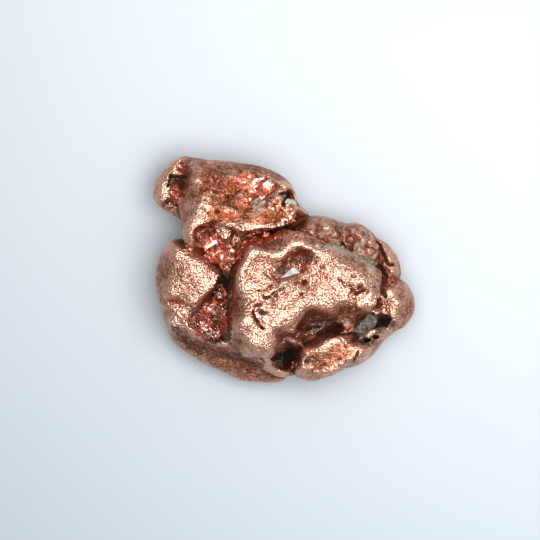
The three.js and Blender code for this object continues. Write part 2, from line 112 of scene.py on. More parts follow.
# What tumbling and growth have marked on the upper side, seen from above, in mm.
# Cracks and creases: depth, half width, and the trail that they follow.
CREASES = [
    # hooked horn and its recess
    (0.9, 0.1, [(-13, 7), (-12.3, 7.7), (-11.6, 7.1)]),
    (0.8, 0.09, [(-12.2, 10.4), (-12.35, 9.8), (-12.5, 9.2)]),
    (0.8, 0.14, [(-12.2, 10.25), (-11.4, 10.2), (-10.5, 10.2)]),
    # head
    (0.25, 0.17, [(-11.5, 11.2), (-11, 10.7), (-10.4, 10.5)]),
    (0.35, 0.11, [(-8.1, 8.9), (-7.5, 8.7), (-7, 8.4), (-6.3, 8.5), (-5.9, 8)]),
    (0.25, 0.08, [(-8.9, 6.9), (-8.5, 6.6), (-8.1, 6.3)]),
    (0.8, 0.14, [(-0.2, 8.3), (0.5, 8.45), (0.6, 8.1), (0.25, 7.6), (0.1, 7.1)]),
    (0.4, 0.1, [(-0.3, 6.8), (0.05, 6.3), (0, 5.9)]),
    (0.3, 0.08, [(1.2, 7.85), (1.6, 7.3), (1.7, 7)]),
    (0.18, 0.1, [(-2.6, 7.7), (-2.8, 7.2), (-2.9, 6.7)]),
    (0.15, 0.08, [(-1.6, 7.9), (-1.8, 7.4), (-1.7, 6.9)]),
    # left lobe and the ledge below it
    (0.06, 0.1, [(-11.2, -0.9), (-10.4, -2), (-9.6, -3)]),
    (0.05, 0.08, [(-10.4, -0.7), (-9.8, -1.6), (-9.1, -2.7)]),
    (0.06, 0.1, [(-12, -1.5), (-11.2, -2.6), (-10.3, -3.3)]),
    (0.12, 0.35, [(-12, -3.5), (-11, -3.6), (-10, -4), (-9.6, -4.7)]),
    (0.35, 0.14, [(-9.1, -5), (-9.3, -5.9), (-9.1, -6.5)]),
    (0.5, 0.08, [(-9.3, -9), (-8.7, -9.4)]),
    # neck
    (0.4, 0.14, [(-7.8, 1), (-7.2, 0.7), (-7.1, 0.2), (-6.8, -0.2)]),
    # long cleft between the left lobe and the pillow
    (0.7, 0.2, [(-6.5, -0.9), (-5.9, -1.6), (-5.95, -3.2), (-5.9, -5.2), (-5.9, -6.9)]),
    # pillow
    (0.45, 0.08, [(-2.1, -2.95), (-1.5, -3), (-1.15, -2.8), (-0.9, -2.45), (-0.3, -2.25), (0.1, -1.95),
                  (0.45, -1.65)]),
    (0.25, 0.08, [(0.4, -1.5), (0.9, -1.7), (1.2, -1.6), (1.6, -1.4), (2.1, -1.3), (2.45, -1.2)]),
    (0.25, 0.08, [(-2.7, -2.3), (-2.2, -2.2), (-1.9, -2.15), (-1.6, -1.9), (-1.2, -1.5)]),
    (0.25, 0.08, [(-1.9, -0.3), (-1.45, -0.7), (-1.15, -0.95)]),
    (0.3, 0.09, [(-3.1, -3.9), (-2.5, -3.8), (-2.1, -3.4)]),
    (0.7, 0.09, [(-3.2, -4.5), (-3, -5.1), (-2.7, -5.6), (-2.4, -6.1), (-2.1, -6.35)]),
    (0.3, 0.14, [(-2.6, -4.45), (-2.1, -4.6), (-1.7, -4.7)]),
    (0.25, 0.3, [(-0.8, -2.6), (-0.8, -3.2), (-0.9, -3.8)]),
    (0.25, 0.1, [(-0.5, -7.75), (0.5, -7.75), (1.3, -7.55)]),
    (0.3, 0.09, [(-0.1, -8.15), (0.6, -8.15), (1.4, -8.1)]),
    (0.3, 0.1, [(0.1, -8.5), (0.8, -8.55), (1.4, -8.5)]),
    (0.3, 0.08, [(-0.9, -8.2), (-0.75, -8.5), (-0.55, -8.8)]),
    (0.25, 0.09, [(6.2, -1.1), (6.6, -1.3), (7.2, -1.5), (7.6, -2.1), (7.9, -2.5)]),
    (0.5, 0.1, [(8.1, -2.6), (8.6, -2.3), (9, -2.2)]),
    (0.3, 0.08, [(7.55, -0.65), (7.75, -0.6), (7.95, -0.7)]),
    (0.2, 0.08, [(5.05, 0.75), (5.2, 0.5), (5.5, 0.3)]),
    (0.2, 0.08, [(5.15, 0.65), (5.4, 0.9), (5.6, 1)]),
    (0.2, 0.08, [(5.6, 0.5), (5.85, 0.75)]),
    # back ridge and the lump at its end
    (0.3, 0.08, [(7.3, 3.9), (8, 3.5), (8.45, 3.2)]),
    (0.3, 0.08, [(6.3, 3), (6.6, 2.75)]),
    (0.75, 0.14, [(10.4, 3.1), (10.8, 2.7), (10.9, 2.2), (11.1, 1.8), (11.3, 1.3), (11.5, 0.8),
                  (11.75, 0.5), (12.2, 0.6)]),
    (0.75, 0.11, [(10, 0.6), (10.5, 0.3), (10.9, 0), (11.4, -0.7)]),
    # right knob
    (0.5, 0.13, [(11, -2.1), (11.05, -2.5), (11.3, -2.9)]),
    # front right lobe
    (0.5, 0.08, [(8.3, -8.9), (8.15, -9.4), (7.75, -9.9)]),
    (0.2, 0.08, [(6.3, -7.4), (6.8, -7.9), (7, -8.5)]),
    (0.2, 0.08, [(7.3, -7.7), (7, -8.3)]),
    (0.2, 0.08, [(3, -11.1), (4, -10.7), (4.7, -10.2)]),
    (0.2, 0.08, [(1.7, -11.3), (2.3, -11.75)]),
    (0.8, 0.13, [(6.6, -7.05), (7.2, -7.1), (7.9, -6.9), (8.3, -7)]),
    (0.8, 0.14, [(3.8, -7.15), (4.3, -6.8), (5, -6.4), (5.7, -6.1), (6.4, -6.1)]),
    (0.6, 0.13, [(2.6, -6.5), (3.3, -6.25), (4, -6.2)]),
    # skirt along the front left
    (0.3, 0.45, [(-11, -7.6), (-9, -8.6), (-7, -9), (-5, -9.3), (-3.6, -10), (-2.4, -10.5)]),
    (0.2, 0.14, [(-4.5, -10.3), (-3, -10.7), (-1.8, -11.1), (-0.9, -11.65), (-0.3, -11.75)]),
    (0.5, 0.1, [(-2.6, -10.6), (-2.2, -10.8)]),
    (0.5, 0.1, [(-2.3, -9.7), (-1.9, -10.1)]),
    (0.2, 0.08, [(-5.8, -11.3), (-4.6, -11.7)]),
    (0.6, 0.14, [(0.7, -10.3), (0.9, -10.8), (1.15, -11.4)]),
]

# Edges where a flake or a fold stands up: height on the left of the trail, width over
# which it falls away again, and the trail.
LIPS = [
    (0.5, 0.9, [(-5.6, 4.5), (-4.7, 4.2), (-3.7, 4.1), (-2.9, 4.35), (-2.2, 4.5), (-1.5, 4.5), (-0.9, 4.2),
                (-0.2, 4.4), (0.4, 4.2)]),
    (0.3, 0.6, [(-4.4, 10.8), (-4, 10.4), (-3.1, 10.6), (-2.3, 10.45), (-1.7, 10.2), (-0.6, 9.6),
                (0.3, 9.1)]),
    (0.35, 0.5, [(-5.6, 2.3), (-6, 2.4), (-6.4, 2.8), (-6.8, 3), (-7.1, 4.3)]),
    (0.25, 0.5, [(-7.1, 4.1), (-7.5, 4.3), (-8, 4.75), (-8.8, 4.4)]),
    (0.5, 0.4, [(6.1, 4), (5.5, 4.6), (4.9, 5)]),
    (0.5, 0.35, [(8.8, 3.7), (8.3, 4), (7.8, 4.4)]),
    (0.4, 0.4, [(7.3, 2.5), (6.9, 3.2), (6.9, 4.1)]),
    (0.35, 0.5, [(-2.1, -9.7), (-1.75, -10.5), (-1.3, -10.85), (-0.7, -11.2), (0.1, -11.4), (0.8, -11.3)]),
    (0.3, 0.5, [(-12, -4.4), (-11.2, -5.2), (-10.2, -6.5), (-9.4, -7.1), (-8.4, -7.9), (-7.2, -8.3)]),
    (0.2, 0.5, [(9.2, 0.3), (9.5, 0), (9.9, -0.5)]),
]

# Small pits: depth, radius, x, y.
PITS = [
    (0.25, 0.22, -11.1, 11.8), (0.25, 0.19, -10, 10.7), (0.25, 0.17, -7, 11.2), (0.3, 0.15, -8.4, 7.7),
    (0.25, 0.15, -9.3, 7.5), (0.45, 0.22, -7.2, 10), (0.35, 0.19, -7.05, 9.6), (0.3, 0.19, -7.1, 6.4),
    (0.3, 0.19, -4.4, 10.1), (0.3, 0.19, -2, 10.1), (0.3, 0.15, -1.4, 9.4), (0.3, 0.22, -3.8, 7.55),
    (0.25, 0.15, 0.9, 6.4), (0.25, 0.15, 1.2, 5.8), (0.25, 0.15, 0.4, 5.2), (0.25, 0.15, 0.85, 4.8),
    (0.35, 0.19, 0.5, 4.1), (0.3, 0.19, 2.9, 6), (0.2, 0.22, -6.8, 11.5), (0.35, 0.22, -5.3, 0.6),
    (0.35, 0.19, -5.1, -0.2), (0.35, 0.15, -0.9, -0.65), (0.3, 0.15, -0.6, -0.9), (0.25, 0.15, -0.3, -1.2),
    (0.4, 0.26, 2.4, -1.4), (0.3, 0.15, 2.1, -2.6), (0.3, 0.19, -0.75, -2.75), (0.35, 0.22, -2.2, -4.6),
    (0.2, 0.14, -3.9, -0.2), (0.2, 0.14, 3.6, 0.8), (0.3, 0.15, 4.5, 0.3), (0.25, 0.13, 4.7, -0.8),
    (0.25, 0.15, 6.3, 0.3), (0.3, 0.14, 9, 0.05), (0.4, 0.19, 8.4, -1.95), (0.3, 0.15, 9.3, -2.4),
    (0.4, 0.19, 11.6, -1.6), (0.3, 0.15, 12, -1.9), (0.35, 0.19, 1.4, 3.6), (0.3, 0.17, 2.6, 3.9),
    (0.3, 0.14, 3.8, 4.4), (0.3, 0.14, 4.25, 4.4), (0.35, 0.22, 4.6, 3.4), (0.35, 0.22, 7.8, 3.7),
    (0.25, 0.15, 8.2, 4.4), (0.4, 0.22, 2.6, -10), (0.3, 0.15, 3.3, -9.6), (0.3, 0.17, 2.5, -10.45),
    (0.25, 0.15, 2.35, -9.3), (0.3, 0.15, 6.2, -9.6), (0.25, 0.13, 7, -9.95), (0.25, 0.13, 6.2, -10.5),
    (0.3, 0.15, 1.5, -10.2), (0.5, 0.3, 9.2, -8), (0.4, 0.15, 10.25, -7.6), (0.3, 0.14, -2.5, -8.55),
    (0.2, 0.14, 0.45, -5.45), (0.4, 0.22, -5.9, -7.3), (0.3, 0.15, -12.2, 9.9), (0.3, 0.3, 9.3, 9),
]

# Broad hollows and swells of the upper side: rise, radius along X and Y, turn, x, y.
SWELLS = [
    (-0.35, 0.8, 1.8, 10, 2.7, -1.6), (-0.5, 1, 0.6, 0, -0.2, -7), (-0.2, 0.8, 0.5, 30, 3, -10),
    (-0.3, 1.4, 0.5, 10, 3.2, -5.3), (0.5, 1.5, 1.2, 20, -3.9, -5.8), (0.3, 1.2, 1.4, 0, -0.8, -5.6),
    (0.3, 1, 1.6, -25, -1.3, -8.9), (0.25, 2.2, 0.8, 10, 4.5, -8.7), (-0.3, 1, 0.4, 35, 7.9, -2.3),
    (0.3, 0.9, 0.5, -40, 9, -1.4), (0.3, 0.9, 0.6, -20, 12.4, -3.5), (0.4, 0.35, 0.9, 0, -13.3, 8.8),
    (-0.3, 0.8, 0.5, 0, -6.8, 11.4), (0.3, 0.6, 0.5, 0, 0.2, -10.9), (-0.35, 0.6, 0.6, 0, -8.1, 4),
    (0.25, 0.9, 0.7, 0, -9.6, 5.7), (-0.3, 0.7, 0.3, -20, -8.4, -5.6), (-0.25, 1.6, 0.4, -35, 7.4, 2.2),
    (0.3, 0.5, 0.5, 0, 2.1, 4), (-0.4, 0.25, 0.9, 25, 6.4, 3.3), (0.35, 0.8, 0.25, -38, 5.4, 4.5),
    (0.35, 0.6, 0.25, -30, 8.2, 4), (-0.4, 0.4, 0.5, 0, 7.6, 2.9), (-0.3, 0.6, 0.35, -30, 9.3, 2.6),
    (-0.35, 0.35, 0.8, 0, 3.9, 4.3),
]

# Where red cuprite stains or crusts the copper: how strongly, and the outline.
RED_POOLS = [
    (1, [(-5.6, 1.3), (-5.9, 2.3), (-5, 2.8), (-4.4, 3.3), (-3.9, 3.9), (-3, 4.3), (-2, 4.4), (-0.9, 3.8),
         (-0.2, 4.3), (0.4, 4.1), (-0.6, 3.5), (-1.9, 3), (-3, 2.8), (-3.7, 2.2), (-4.7, 1.2)]),
    (1, [(-8.6, 2.3), (-8.5, 3.3), (-7.6, 4), (-6.9, 4), (-6.7, 3), (-5.9, 2.4), (-5.2, 1.4), (-5.4, 0.5),
         (-6.4, 0.3), (-7.4, 0.8), (-8.3, 1)]),
    (1, [(-4.9, 9.8), (-4.3, 10.8), (-3, 10.3), (-1.2, 9.8), (-0.9, 9), (-1.6, 8), (-2.4, 7.8), (-3, 8.3),
         (-4, 8.8), (-4.9, 9.1)]),
    (1, [(-8.1, -3.8), (-7.3, -2.4), (-6.8, -1.6), (-6.1, -2), (-6, -5.6), (-6.1, -6.8), (-7.2, -7.5),
         (-8.6, -7.5), (-9.5, -6.8), (-9.5, -5.6), (-9, -4.7)]),
    (0.9, [(-12.2, 9.1), (-11.4, 9.2), (-11.1, 8.2), (-11.2, 7.4), (-12.1, 7.4)]),
]
# The same for small spots: how strongly, radius, x, y.
RED_SPOTS = [
    (0.7, 0.35, 4.6, 3.4), (0.9, 0.5, -3.8, 7.55), (0.8, 0.2, 0.9, 6.4), (0.8, 0.2, 1.2, 5.8),
    (0.9, 0.5, -6.5, 8.3), (0.8, 0.3, -7.7, 8.75), (0.6, 0.3, 2.5, 0.45), (0.5, 0.5, 1.6, 3.8),
    (0.5, 0.4, 2.5, 3.9), (0.45, 0.4, 7.8, 3.6), (0.5, 0.3, 11.7, -1.6), (0.55, 0.45, 1.3, -10.2),
    (0.9, 0.45, -7.15, 9.8), (0.8, 0.25, -6.8, 5.8), (0.7, 0.35, 0, 6.2), (0.9, 0.4, -5.9, 1.8),
    (0.55, 0.3, 7.4, -6.3), (0.6, 0.3, 4.5, 0.3), (0.7, 0.3, 1, 5.4), (0.6, 0.4, -7.2, 0.8),
]
# Grey films and chips of the matrix rock that still cling to the copper.
GREY_POOLS = [
    (1, [(4.8, 2.4), (5.4, 3.4), (6.3, 3), (7.2, 2.3), (8.9, 1.9), (9.9, 1), (10.4, 0.3), (9.8, -0.4),
         (9.3, 0.2), (8, 1), (6.5, 1.6)]),
    (0.9, [(-3.4, 6.5), (-3.1, 7.7), (-2.5, 7.9), (-1.9, 7.2), (-2.2, 6.2)]),
    (0.9, [(3.8, 3.8), (4.3, 4.5), (5.2, 4.4), (5.4, 3.9), (4.6, 3.8), (4.2, 3.5)]),
    (0.8, [(7.9, -6.2), (8.7, -5.3), (10, -4.8), (10.6, -5.3), (9.8, -7.3), (8.8, -7.8), (8.1, -7.2)]),
]
GREY_SPOTS = [
    (1, 0.45, 8.9, 3), (1, 0.45, 8.2, 2.6), (1, 0.4, 10.1, 1.5), (0.9, 0.25, 10.3, 2.5),
    (0.9, 0.35, 1.3, 2.15), (0.8, 0.45, 3.6, 2.4), (0.9, 0.25, 4, 1.75), (1, 0.25, -7.2, 7.3),
    (0.9, 0.25, -3.6, 6), (0.9, 0.3, -2.5, 6.2), (0.9, 0.25, -4.6, 7.2), (0.9, 0.3, -6.3, 4.6),
    (0.9, 0.3, 6.3, 0.2), (1, 0.4, 7, -5.85), (0.8, 0.25, 6.2, -9.6), (0.9, 0.3, 11.1, -3.3),
    (0.9, 0.3, -1.3, -3.65), (1, 0.35, 0, -1.6), (0.9, 0.2, 2.05, -2.15), (0.8, 0.5, -1.2, -7.4),
    (0.8, 0.3, 7, -7.2), (0.9, 0.2, -9.7, 10.8), (0.7, 0.3, 9.5, -0.1), (0.7, 0.3, -4, 3.7),
]
# Where a dull dark oxide film has stayed, out of reach of the tumbling. In the cleft, the crater, the holes,
# the groove, the pocket and the skirt, the same dark brown is also painted shade.
FILM_AND_SHADE_POOLS = [
    (1, [(-6.9, -0.2), (-5.3, -0.6), (-5.5, -2.2), (-5.6, -4.5), (-5.5, -7.3), (-6.4, -8), (-8.2, -8),
         (-9, -7), (-9.3, -5.6), (-8.6, -4.4), (-7.7, -3.4), (-6.7, -1.8)]),
    (0.7, [(-1.1, -0.6), (-0.7, 0.5), (0.3, 1), (1.5, 1.5), (2.6, 1.5), (4, 1.3), (3.4, 0.9), (3, 0.3),
           (1.8, 0.6), (0.9, 0.2), (0.1, -0.5)]),
    (1, [(-1.3, -9.8), (-0.5, -9.1), (0.1, -8.7), (1.4, -8.6), (1.4, -9.4), (1.1, -10.2), (1.1, -11),
         (0.6, -10.7), (0, -10.3), (-0.8, -10.6)]),
    (0.9, [(10, -5), (11.2, -4.6), (12.2, -5.2), (12.3, -6.1), (11.2, -6.7), (10.2, -7), (9.8, -6.2)]),
    (0.9, [(8.6, -7.5), (9.5, -7.3), (10.4, -7.4), (10.2, -7.9), (9.6, -8.4), (8.6, -8.2)]),
    (0.75, [(-12.2, -5.6), (-11.2, -6.4), (-10, -7.5), (-8.6, -8.4), (-7, -8.8), (-5.2, -9), (-3.6, -9.7),
            (-2.3, -10.4), (-2.4, -10.9), (-4.2, -10.4), (-6, -9.9), (-8, -9.7), (-10, -8.9), (-11.6, -7.4)]),
    (0.45, [(2.4, 2.4), (4, 4.6), (8.4, 4.6), (11, 2.2), (12, 0.2), (10.4, -0.6), (8.4, 0.8), (5.4, 2)]),
    (0.45, [(9.6, -0.6), (11.4, -1), (12.2, -2), (10.8, -2.9), (9.6, -4.2), (8.6, -4.4), (9.6, -2.6)]),
    (0.8, [(2.6, -5.4), (3.4, -5.1), (5, -5.2), (6.4, -5.5), (6.5, -6.2), (5, -6.5), (4, -7.1), (2.8, -7.2),
           (2, -8.3), (1.7, -7.9), (2.3, -6.6)]),
    (0.5, [(-0.7, -7.4), (1.3, -7.4), (1.3, -8.5), (-0.4, -8.4)]),
    (0.55, [(2.3, -9.5), (3.2, -9.2), (4.6, -9.5), (3.8, -10.4), (2.6, -10.9)]),
    (0.8, [(-12.5, 9.3), (-12.2, 10.4), (-10.9, 10.3), (-11, 9), (-11.2, 7.4), (-12.2, 7.2)]),
]
FILM_AND_SHADE_SPOTS = [
    (0.6, 0.6, -9.9, -4.4), (0.5, 0.5, -11, -3.5), (0.5, 0.7, 2.6, -1.4), (0.4, 0.6, 2.6, -2.3),
    (0.5, 0.8, -0.3, -7), (0.6, 0.7, 2.9, -9.9), (0.8, 0.4, -2.2, -4.6), (0.8, 0.5, 0.2, 8.1),
    (0.6, 0.5, -8.3, 4.1), (0.5, 0.4, 11.1, -2.4), (0.5, 0.4, 8.4, -2.1),
]
# Painted shadow: black laid into the deepest pits and holes, where shade falls.
PAINTED_SHADOW_POOLS = [
    (1, [(-1.2, -9.8), (-0.5, -9.2), (0.1, -8.8), (1.3, -8.9), (1.2, -9.6), (0.9, -10.2), (1.1, -11.1),
         (0.7, -10.7), (0.1, -10.1), (-0.6, -10)]),
    (1, [(10, -5.6), (10.9, -5.2), (11.5, -4.7), (12.1, -5.4), (12.1, -5.9), (11.2, -6), (10.4, -6.7),
         (9.9, -6.8), (10.2, -6.1)]),
    (1, [(-6.5, -1), (-5.6, -1), (-5.7, -2.2), (-6.4, -2.4), (-6.9, -1.6)]),
    (0.8, [(-12.3, 10.3), (-11, 10.5), (-11, 9.9), (-12.2, 9.4)]),
]
PAINTED_SHADOW_SPOTS = [
    (1, 0.35, 9.2, -8), (1, 0.25, 9.6, -7.6), (1, 0.25, 8.8, -7.7), (0.9, 0.2, 10.2, -7.6),
    (1, 0.2, 8.6, -6.2), (0.9, 0.35, 0.2, 8.2), (0.9, 0.25, 0.9, -8.5),
]
# Where the skin is oxidised to a duller satin, less polished by the tumbling.
DULL_POOLS = [
    (1, [(-8.6, 5.4), (-7.8, 7.4), (-10.2, 8), (-11.4, 9.8), (-10.8, 12), (-8, 12.6), (-3, 12), (1, 10),
         (2.4, 7), (0.8, 4.7), (-1.2, 5), (-3.6, 4.9), (-5.4, 5.3), (-7, 5)]),
    (0.9, [(-0.5, 2.8), (0.6, 4.4), (3, 5.6), (8, 5), (12.6, 2), (12.8, -1), (10.6, -0.6), (8.6, 0.7),
           (5.6, 2), (3, 2.6)]),
    (0.8, [(1.2, -9), (2.6, -7.6), (5, -6.6), (7, -6.8), (9.4, -8.2), (8.6, -10.2), (4, -12), (1.5, -11.5)]),
    (0.8, [(-12.4, -6.6), (-10, -7.9), (-6.6, -8.5), (-3.4, -9.6), (-1.4, -11), (0.6, -12.4), (-6, -12),
           (-11.5, -9)]),
]
DULL_SPOTS = [
    (0.8, 1.3, 13.6, -4.6), (0.6, 1.3, 4.6, -10.6), (0.5, 1.2, 6.8, -9.2), (0.35, 0.9, 7.4, -7.6),
    (0.3, 0.9, 3.2, -8.2), (0.35, 1.2, 12.6, -2.8), (0.8, 1, 12, -2.4), (0.4, 1.2, 6.5, -0.2),
    (0.4, 1, 8.6, -3.4), (0.4, 1, 4.6, -1), (0.8, 1.3, 13.2, -2.6), (0.9, 0.9, 7.8, -5.2),
    (0.8, 0.6, 9, -4.4), (0.7, 1, -7.8, 0.4), (0.6, 0.7, 2.6, -1.6),
]
# Where the skin is broken and crumpled rather than smooth.
BROKEN_POOLS = [
    (0.9, [(2.4, 2.2), (4.4, 4.9), (8.8, 4.6), (11.2, 2.2), (12.2, -0.2), (10.4, -0.8), (8.4, 1),
           (5.4, 2.2)]),
    (0.7, [(-4.8, 7.4), (-4.6, 8.8), (-1, 8.8), (0.4, 8.6), (1.6, 6.6), (0.6, 4.6), (-0.6, 5.2), (-2, 6.2)]),
    (0.9, [(7.6, -0.6), (8, -2.6), (9.8, -3), (11.8, -1.2), (11.6, -2.8), (10.2, -3.8), (8.2, -4.4),
           (6.6, -4.6), (6.4, -2)]),
    (0.8, [(-3.4, -3.8), (-1.2, -2.2), (0.8, -0.9), (1.8, -1.2), (0, -2.4), (-2, -4.6), (-2.2, -6.4),
           (-2.8, -5.4)]),
]


def coverage(pools, spots, x, y):
    """How strongly a place is covered by pools and spots, 0 to 1, with ragged soft edges."""
    SOFT = 0.35  # mm over which a pool fades at its edge
    ragged_x = 0.12 * np.sin(5.1 * y + 1.3 * x) + 0.08 * np.sin(11.3 * y - 4.7 * x + 1)
    ragged_y = 0.12 * np.sin(4.7 * x - 1.9 * y + 2) + 0.08 * np.sin(12.1 * x + 5.3 * y)
    x, y = x + ragged_x, y + ragged_y
    cover = np.zeros(np.broadcast(x, y).shape, np.float32)
    for strength, outline in pools:
        cover = np.maximum(cover, strength * eased(depth_inside(outline, x, y) / SOFT + 0.5))
    for strength, radius, px, py in spots:
        away = np.hypot(x - px, y - py)
        cover = np.maximum(cover, strength * eased(1.5 - away / radius))
    return cover


def relief(x, y):
    """How far the marks raise or lower the upper side at each place, in mm."""
    lift = np.zeros(np.broadcast(x, y).shape, np.float32)
    for depth, half_width, trail in CREASES:
        away, _ = along_trail(trail, x, y)
        lift -= depth * np.exp(-((away / half_width) ** 2))
    for height, fall, trail in LIPS:
        away, left = along_trail(trail, x, y)
        lift += height * eased(left / 0.25 + 0.5) * np.exp(-((away / fall) ** 2))
    for depth, radius, px, py in PITS:
        lift -= depth * np.exp(-(((x - px) ** 2 + (y - py) ** 2) / radius**2))
    for rise, across, along, turn, px, py in SWELLS:
        c, s = math.cos(math.radians(turn)), math.sin(math.radians(turn))
        u = ((x - px) * c + (y - py) * s) / across
        v = ((y - py) * c - (x - px) * s) / along
        lift += rise * np.exp(-(u**2 + v**2))
    return lift


# Every place is shifted by a slow waviness before its masses are looked up. It grows
# away from the girth, where the outlines are at their true size. The marks only reach
# the part of the nugget above the girth.
MARKS_FADE = 1.5  # mm above the girth over which the marks come in
above = eased((Z - GIRTH) / MARKS_FADE)
away = (Z - GIRTH) / GIRTH
wave_x = X + away * (0.35 * np.sin(0.6 * Y + 0.5 * Z + 1) + 0.2 * np.sin(1.4 * Y - 0.8 * X))
wave_y = Y + away * (0.35 * np.sin(0.6 * X - 0.5 * Z + 2) + 0.2 * np.sin(1.3 * X + 1.1 * Y))
wave_z = Z + 0.16 * np.sin(0.8 * X + 0.7 * Y) + 0.1 * np.sin(1.6 * X - 1.8 * Y + 1)
wave_z = wave_z - relief(X, Y) * above

spot_x = np.clip((wave_x - axes[0][0]) / CELL, 0, len(axes[0]) - 1.01)
spot_y = np.clip((wave_y - axes[1][0]) / CELL, 0, len(axes[1]) - 1.01)
spot = spot_x.astype(np.int32) * len(axes[1]) + spot_y.astype(np.int32)
spot_x -= np.floor(spot_x)
spot_y -= np.floor(spot_y)
PLAN_X, PLAN_Y = np.meshgrid(axes[0], axes[1], indexing="ij", sparse=True)


def block(low, high, blend):
    """The part of the grid that a solid between two corners can reach."""
    WAVE = 1.6  # mm, more than the waviness and the marks can shift a place
    reach = blend + WAVE
    ends = zip(np.subtract(low, reach), np.add(high, reach))
    return tuple(slice(*np.searchsorted(axis, pair)) for axis, pair in zip(axes, ends))


def scaled_distance(units, radii, power=2):
    """Near enough the distance to an ellipsoid, from a place given in its radii. A power
    above 2 gives it a flatter top and fuller shoulders."""
    units = [np.abs(unit) for unit in units]
    reach = np.maximum(sum(unit**power for unit in units) ** (1 / power), 1e-3)
    slope = np.sqrt(sum((unit ** (power - 1) / radius) ** 2 for unit, radius in zip(units, radii)))
    return (reach - 1) * reach ** (power - 1) / np.maximum(slope, 1e-6)


def pebble(blend, outline, mid, top, bottom, edge, lean=(0, 0), power=2):
    """A solid with a smooth outline seen from above, whose side bulges most at mid and
    rounds over to its top and its bottom within the width edge. Its top may lean."""
    plan = -depth_inside(outline, PLAN_X, PLAN_Y).ravel()
    loop = smooth_loop(outline)
    low, high = loop.min(axis=0), loop.max(axis=0)
    centre = (low + high) / 2
    part = block((*low, bottom), (*high, top + 1), blend)
    at = spot[part]
    row = len(axes[1])
    near = plan[at] * (1 - spot_y[part]) + plan[at + 1] * spot_y[part]
    far = plan[at + row] * (1 - spot_y[part]) + plan[at + row + 1] * spot_y[part]
    inwards = np.maximum(near * (1 - spot_x[part]) + far * spot_x[part] + edge, 0)
    tip = top + lean[0] * (wave_x[part] - centre[0]) + lean[1] * (wave_y[part] - centre[1])
    half = np.where(wave_z[part] > mid, tip - mid, mid - bottom)
    return part, scaled_distance((inwards / edge, (wave_z[part] - mid) / half), (edge, half), power)


def egg(blend, centre, radii, turn=0):
    """An ellipsoid turned about Z by so many degrees."""
    longest = max(radii[:2])
    size = (longest, longest, radii[2])
    part = block(np.subtract(centre, size), np.add(centre, size), blend)
    c, s = math.cos(math.radians(turn)), math.sin(math.radians(turn))
    x, y, z = wave_x[part] - centre[0], wave_y[part] - centre[1], wave_z[part] - centre[2]
    units = ((x * c + y * s) / radii[0], (y * c - x * s) / radii[1], z / radii[2])
    return part, scaled_distance(units, radii)


def rope(blend, *knots):
    """A round rope through knots (x, y, z, radius)."""
    knots = np.array(knots, np.float32)
    thickest = knots[:, 3].max()
    part = block(knots[:, :3].min(axis=0) - thickest, knots[:, :3].max(axis=0) + thickest, blend)
    x, y, z = wave_x[part], wave_y[part], wave_z[part]
    nearest = np.inf
    for start, end in zip(knots, knots[1:]):
        span = end - start
        reach = (x - start[0]) * span[0] + (y - start[1]) * span[1] + (z - start[2]) * span[2]
        share = np.clip(reach / (span[:3] @ span[:3]), 0, 1)
        gap = [place - start[n] - share * span[n] for n, place in enumerate((x, y, z))]
        away = np.sqrt(sum(step * step for step in gap)) - start[3] - share * span[3]
        nearest = np.minimum(nearest, away)
    return part, nearest


def joined(a, b, blend):
    """The lower of two fields, rounded off over the width blend where they meet."""
    share = np.clip(0.5 + 0.5 * (b - a) / blend, 0, 1)
    return b + (a - b) * share - blend * share * (1 - share)


LOW_BODY = [
    (-10.5, -0.5), (-9.5, -5), (-7, -8.5), (-2, -10.6), (0.4, -10.8), (2, -10.5), (6, -9.5), (10, -7),
    (11.6, -4), (11, 1), (8, 3.6), (4, 4.6), (1, 6), (0, 8.5), (-4, 10), (-9, 10), (-9.4, 6), (-9.3, 3),
]
FRONT_SKIRT = [
    (-12.6, -4.6), (-12.45, -6.1), (-12, -7.6), (-10.8, -9), (-9, -10.1), (-7.2, -10.95), (-5.5, -11.65),
    (-3.8, -12.2), (-2, -12.4), (-0.4, -12.25), (0.6, -11.7), (0.8, -10.9), (0, -9.5), (0.5, -5),
    (-4, -3), (-9, -3),
]
LEFT_LOBE = [
    (-13.75, -0.5), (-13.45, 1.1), (-12.7, 2.7), (-11.5, 3.5), (-10.2, 3.2), (-8.8, 2.2), (-7.6, 0.9),
    (-6.9, -0.3), (-7.4, -1.8), (-8.3, -3.4), (-9.6, -4.2), (-11.5, -4.3), (-13, -3.6), (-13.6, -2.1),
]
LEFT_LEDGE = [
    (-12.95, -3.7), (-12.6, -5.5), (-11.6, -6.9), (-10.2, -7.7), (-8.2, -8.2), (-6, -8.4), (-5.5, -7.3),
    (-8.2, -7), (-9.2, -6.2), (-8.8, -4.9), (-8.2, -3.6), (-10.5, -3.4),
]
HEAD = [
    (-10.8, 11.5), (-9.8, 12.25), (-8, 12.15), (-6, 11.95), (-3.6, 11.5), (-1.4, 10.75), (0.4, 9.8),
    (1.3, 8.5), (1.8, 7.4), (2.9, 6.2), (1.9, 5.6), (0.9, 4.9), (-0.5, 4.4), (-2, 4.8), (-3.8, 4.3),
    (-5.2, 4.7), (-6.2, 5.1), (-7, 4.2), (-7.9, 3), (-9, 1.8), (-10.4, 2.4), (-10.9, 3.9), (-11, 5.2),
    (-11.2, 6.6), (-10.9, 8.2), (-10.9, 9.8),
]
HEAD_BROW = [
    (-8.6, 4.6), (-7.6, 4.95), (-6.2, 4.7), (-4.9, 4.25), (-4, 3.85), (-3.3, 4.3), (-2, 4.6), (-1.2, 4.3),
    (-0.1, 4.25), (0.6, 4.35), (1.7, 5.7), (1, 6.8), (-3, 7), (-8, 6.6),
]
LOBE_BROW = [
    (-11, 1.5), (-8.6, 1.2), (-7.4, -0.2), (-7.1, -1.2), (-7.4, -2.1), (-8, -3.2), (-8.8, -4.1),
    (-10.5, -3.9), (-11.5, -2),
]
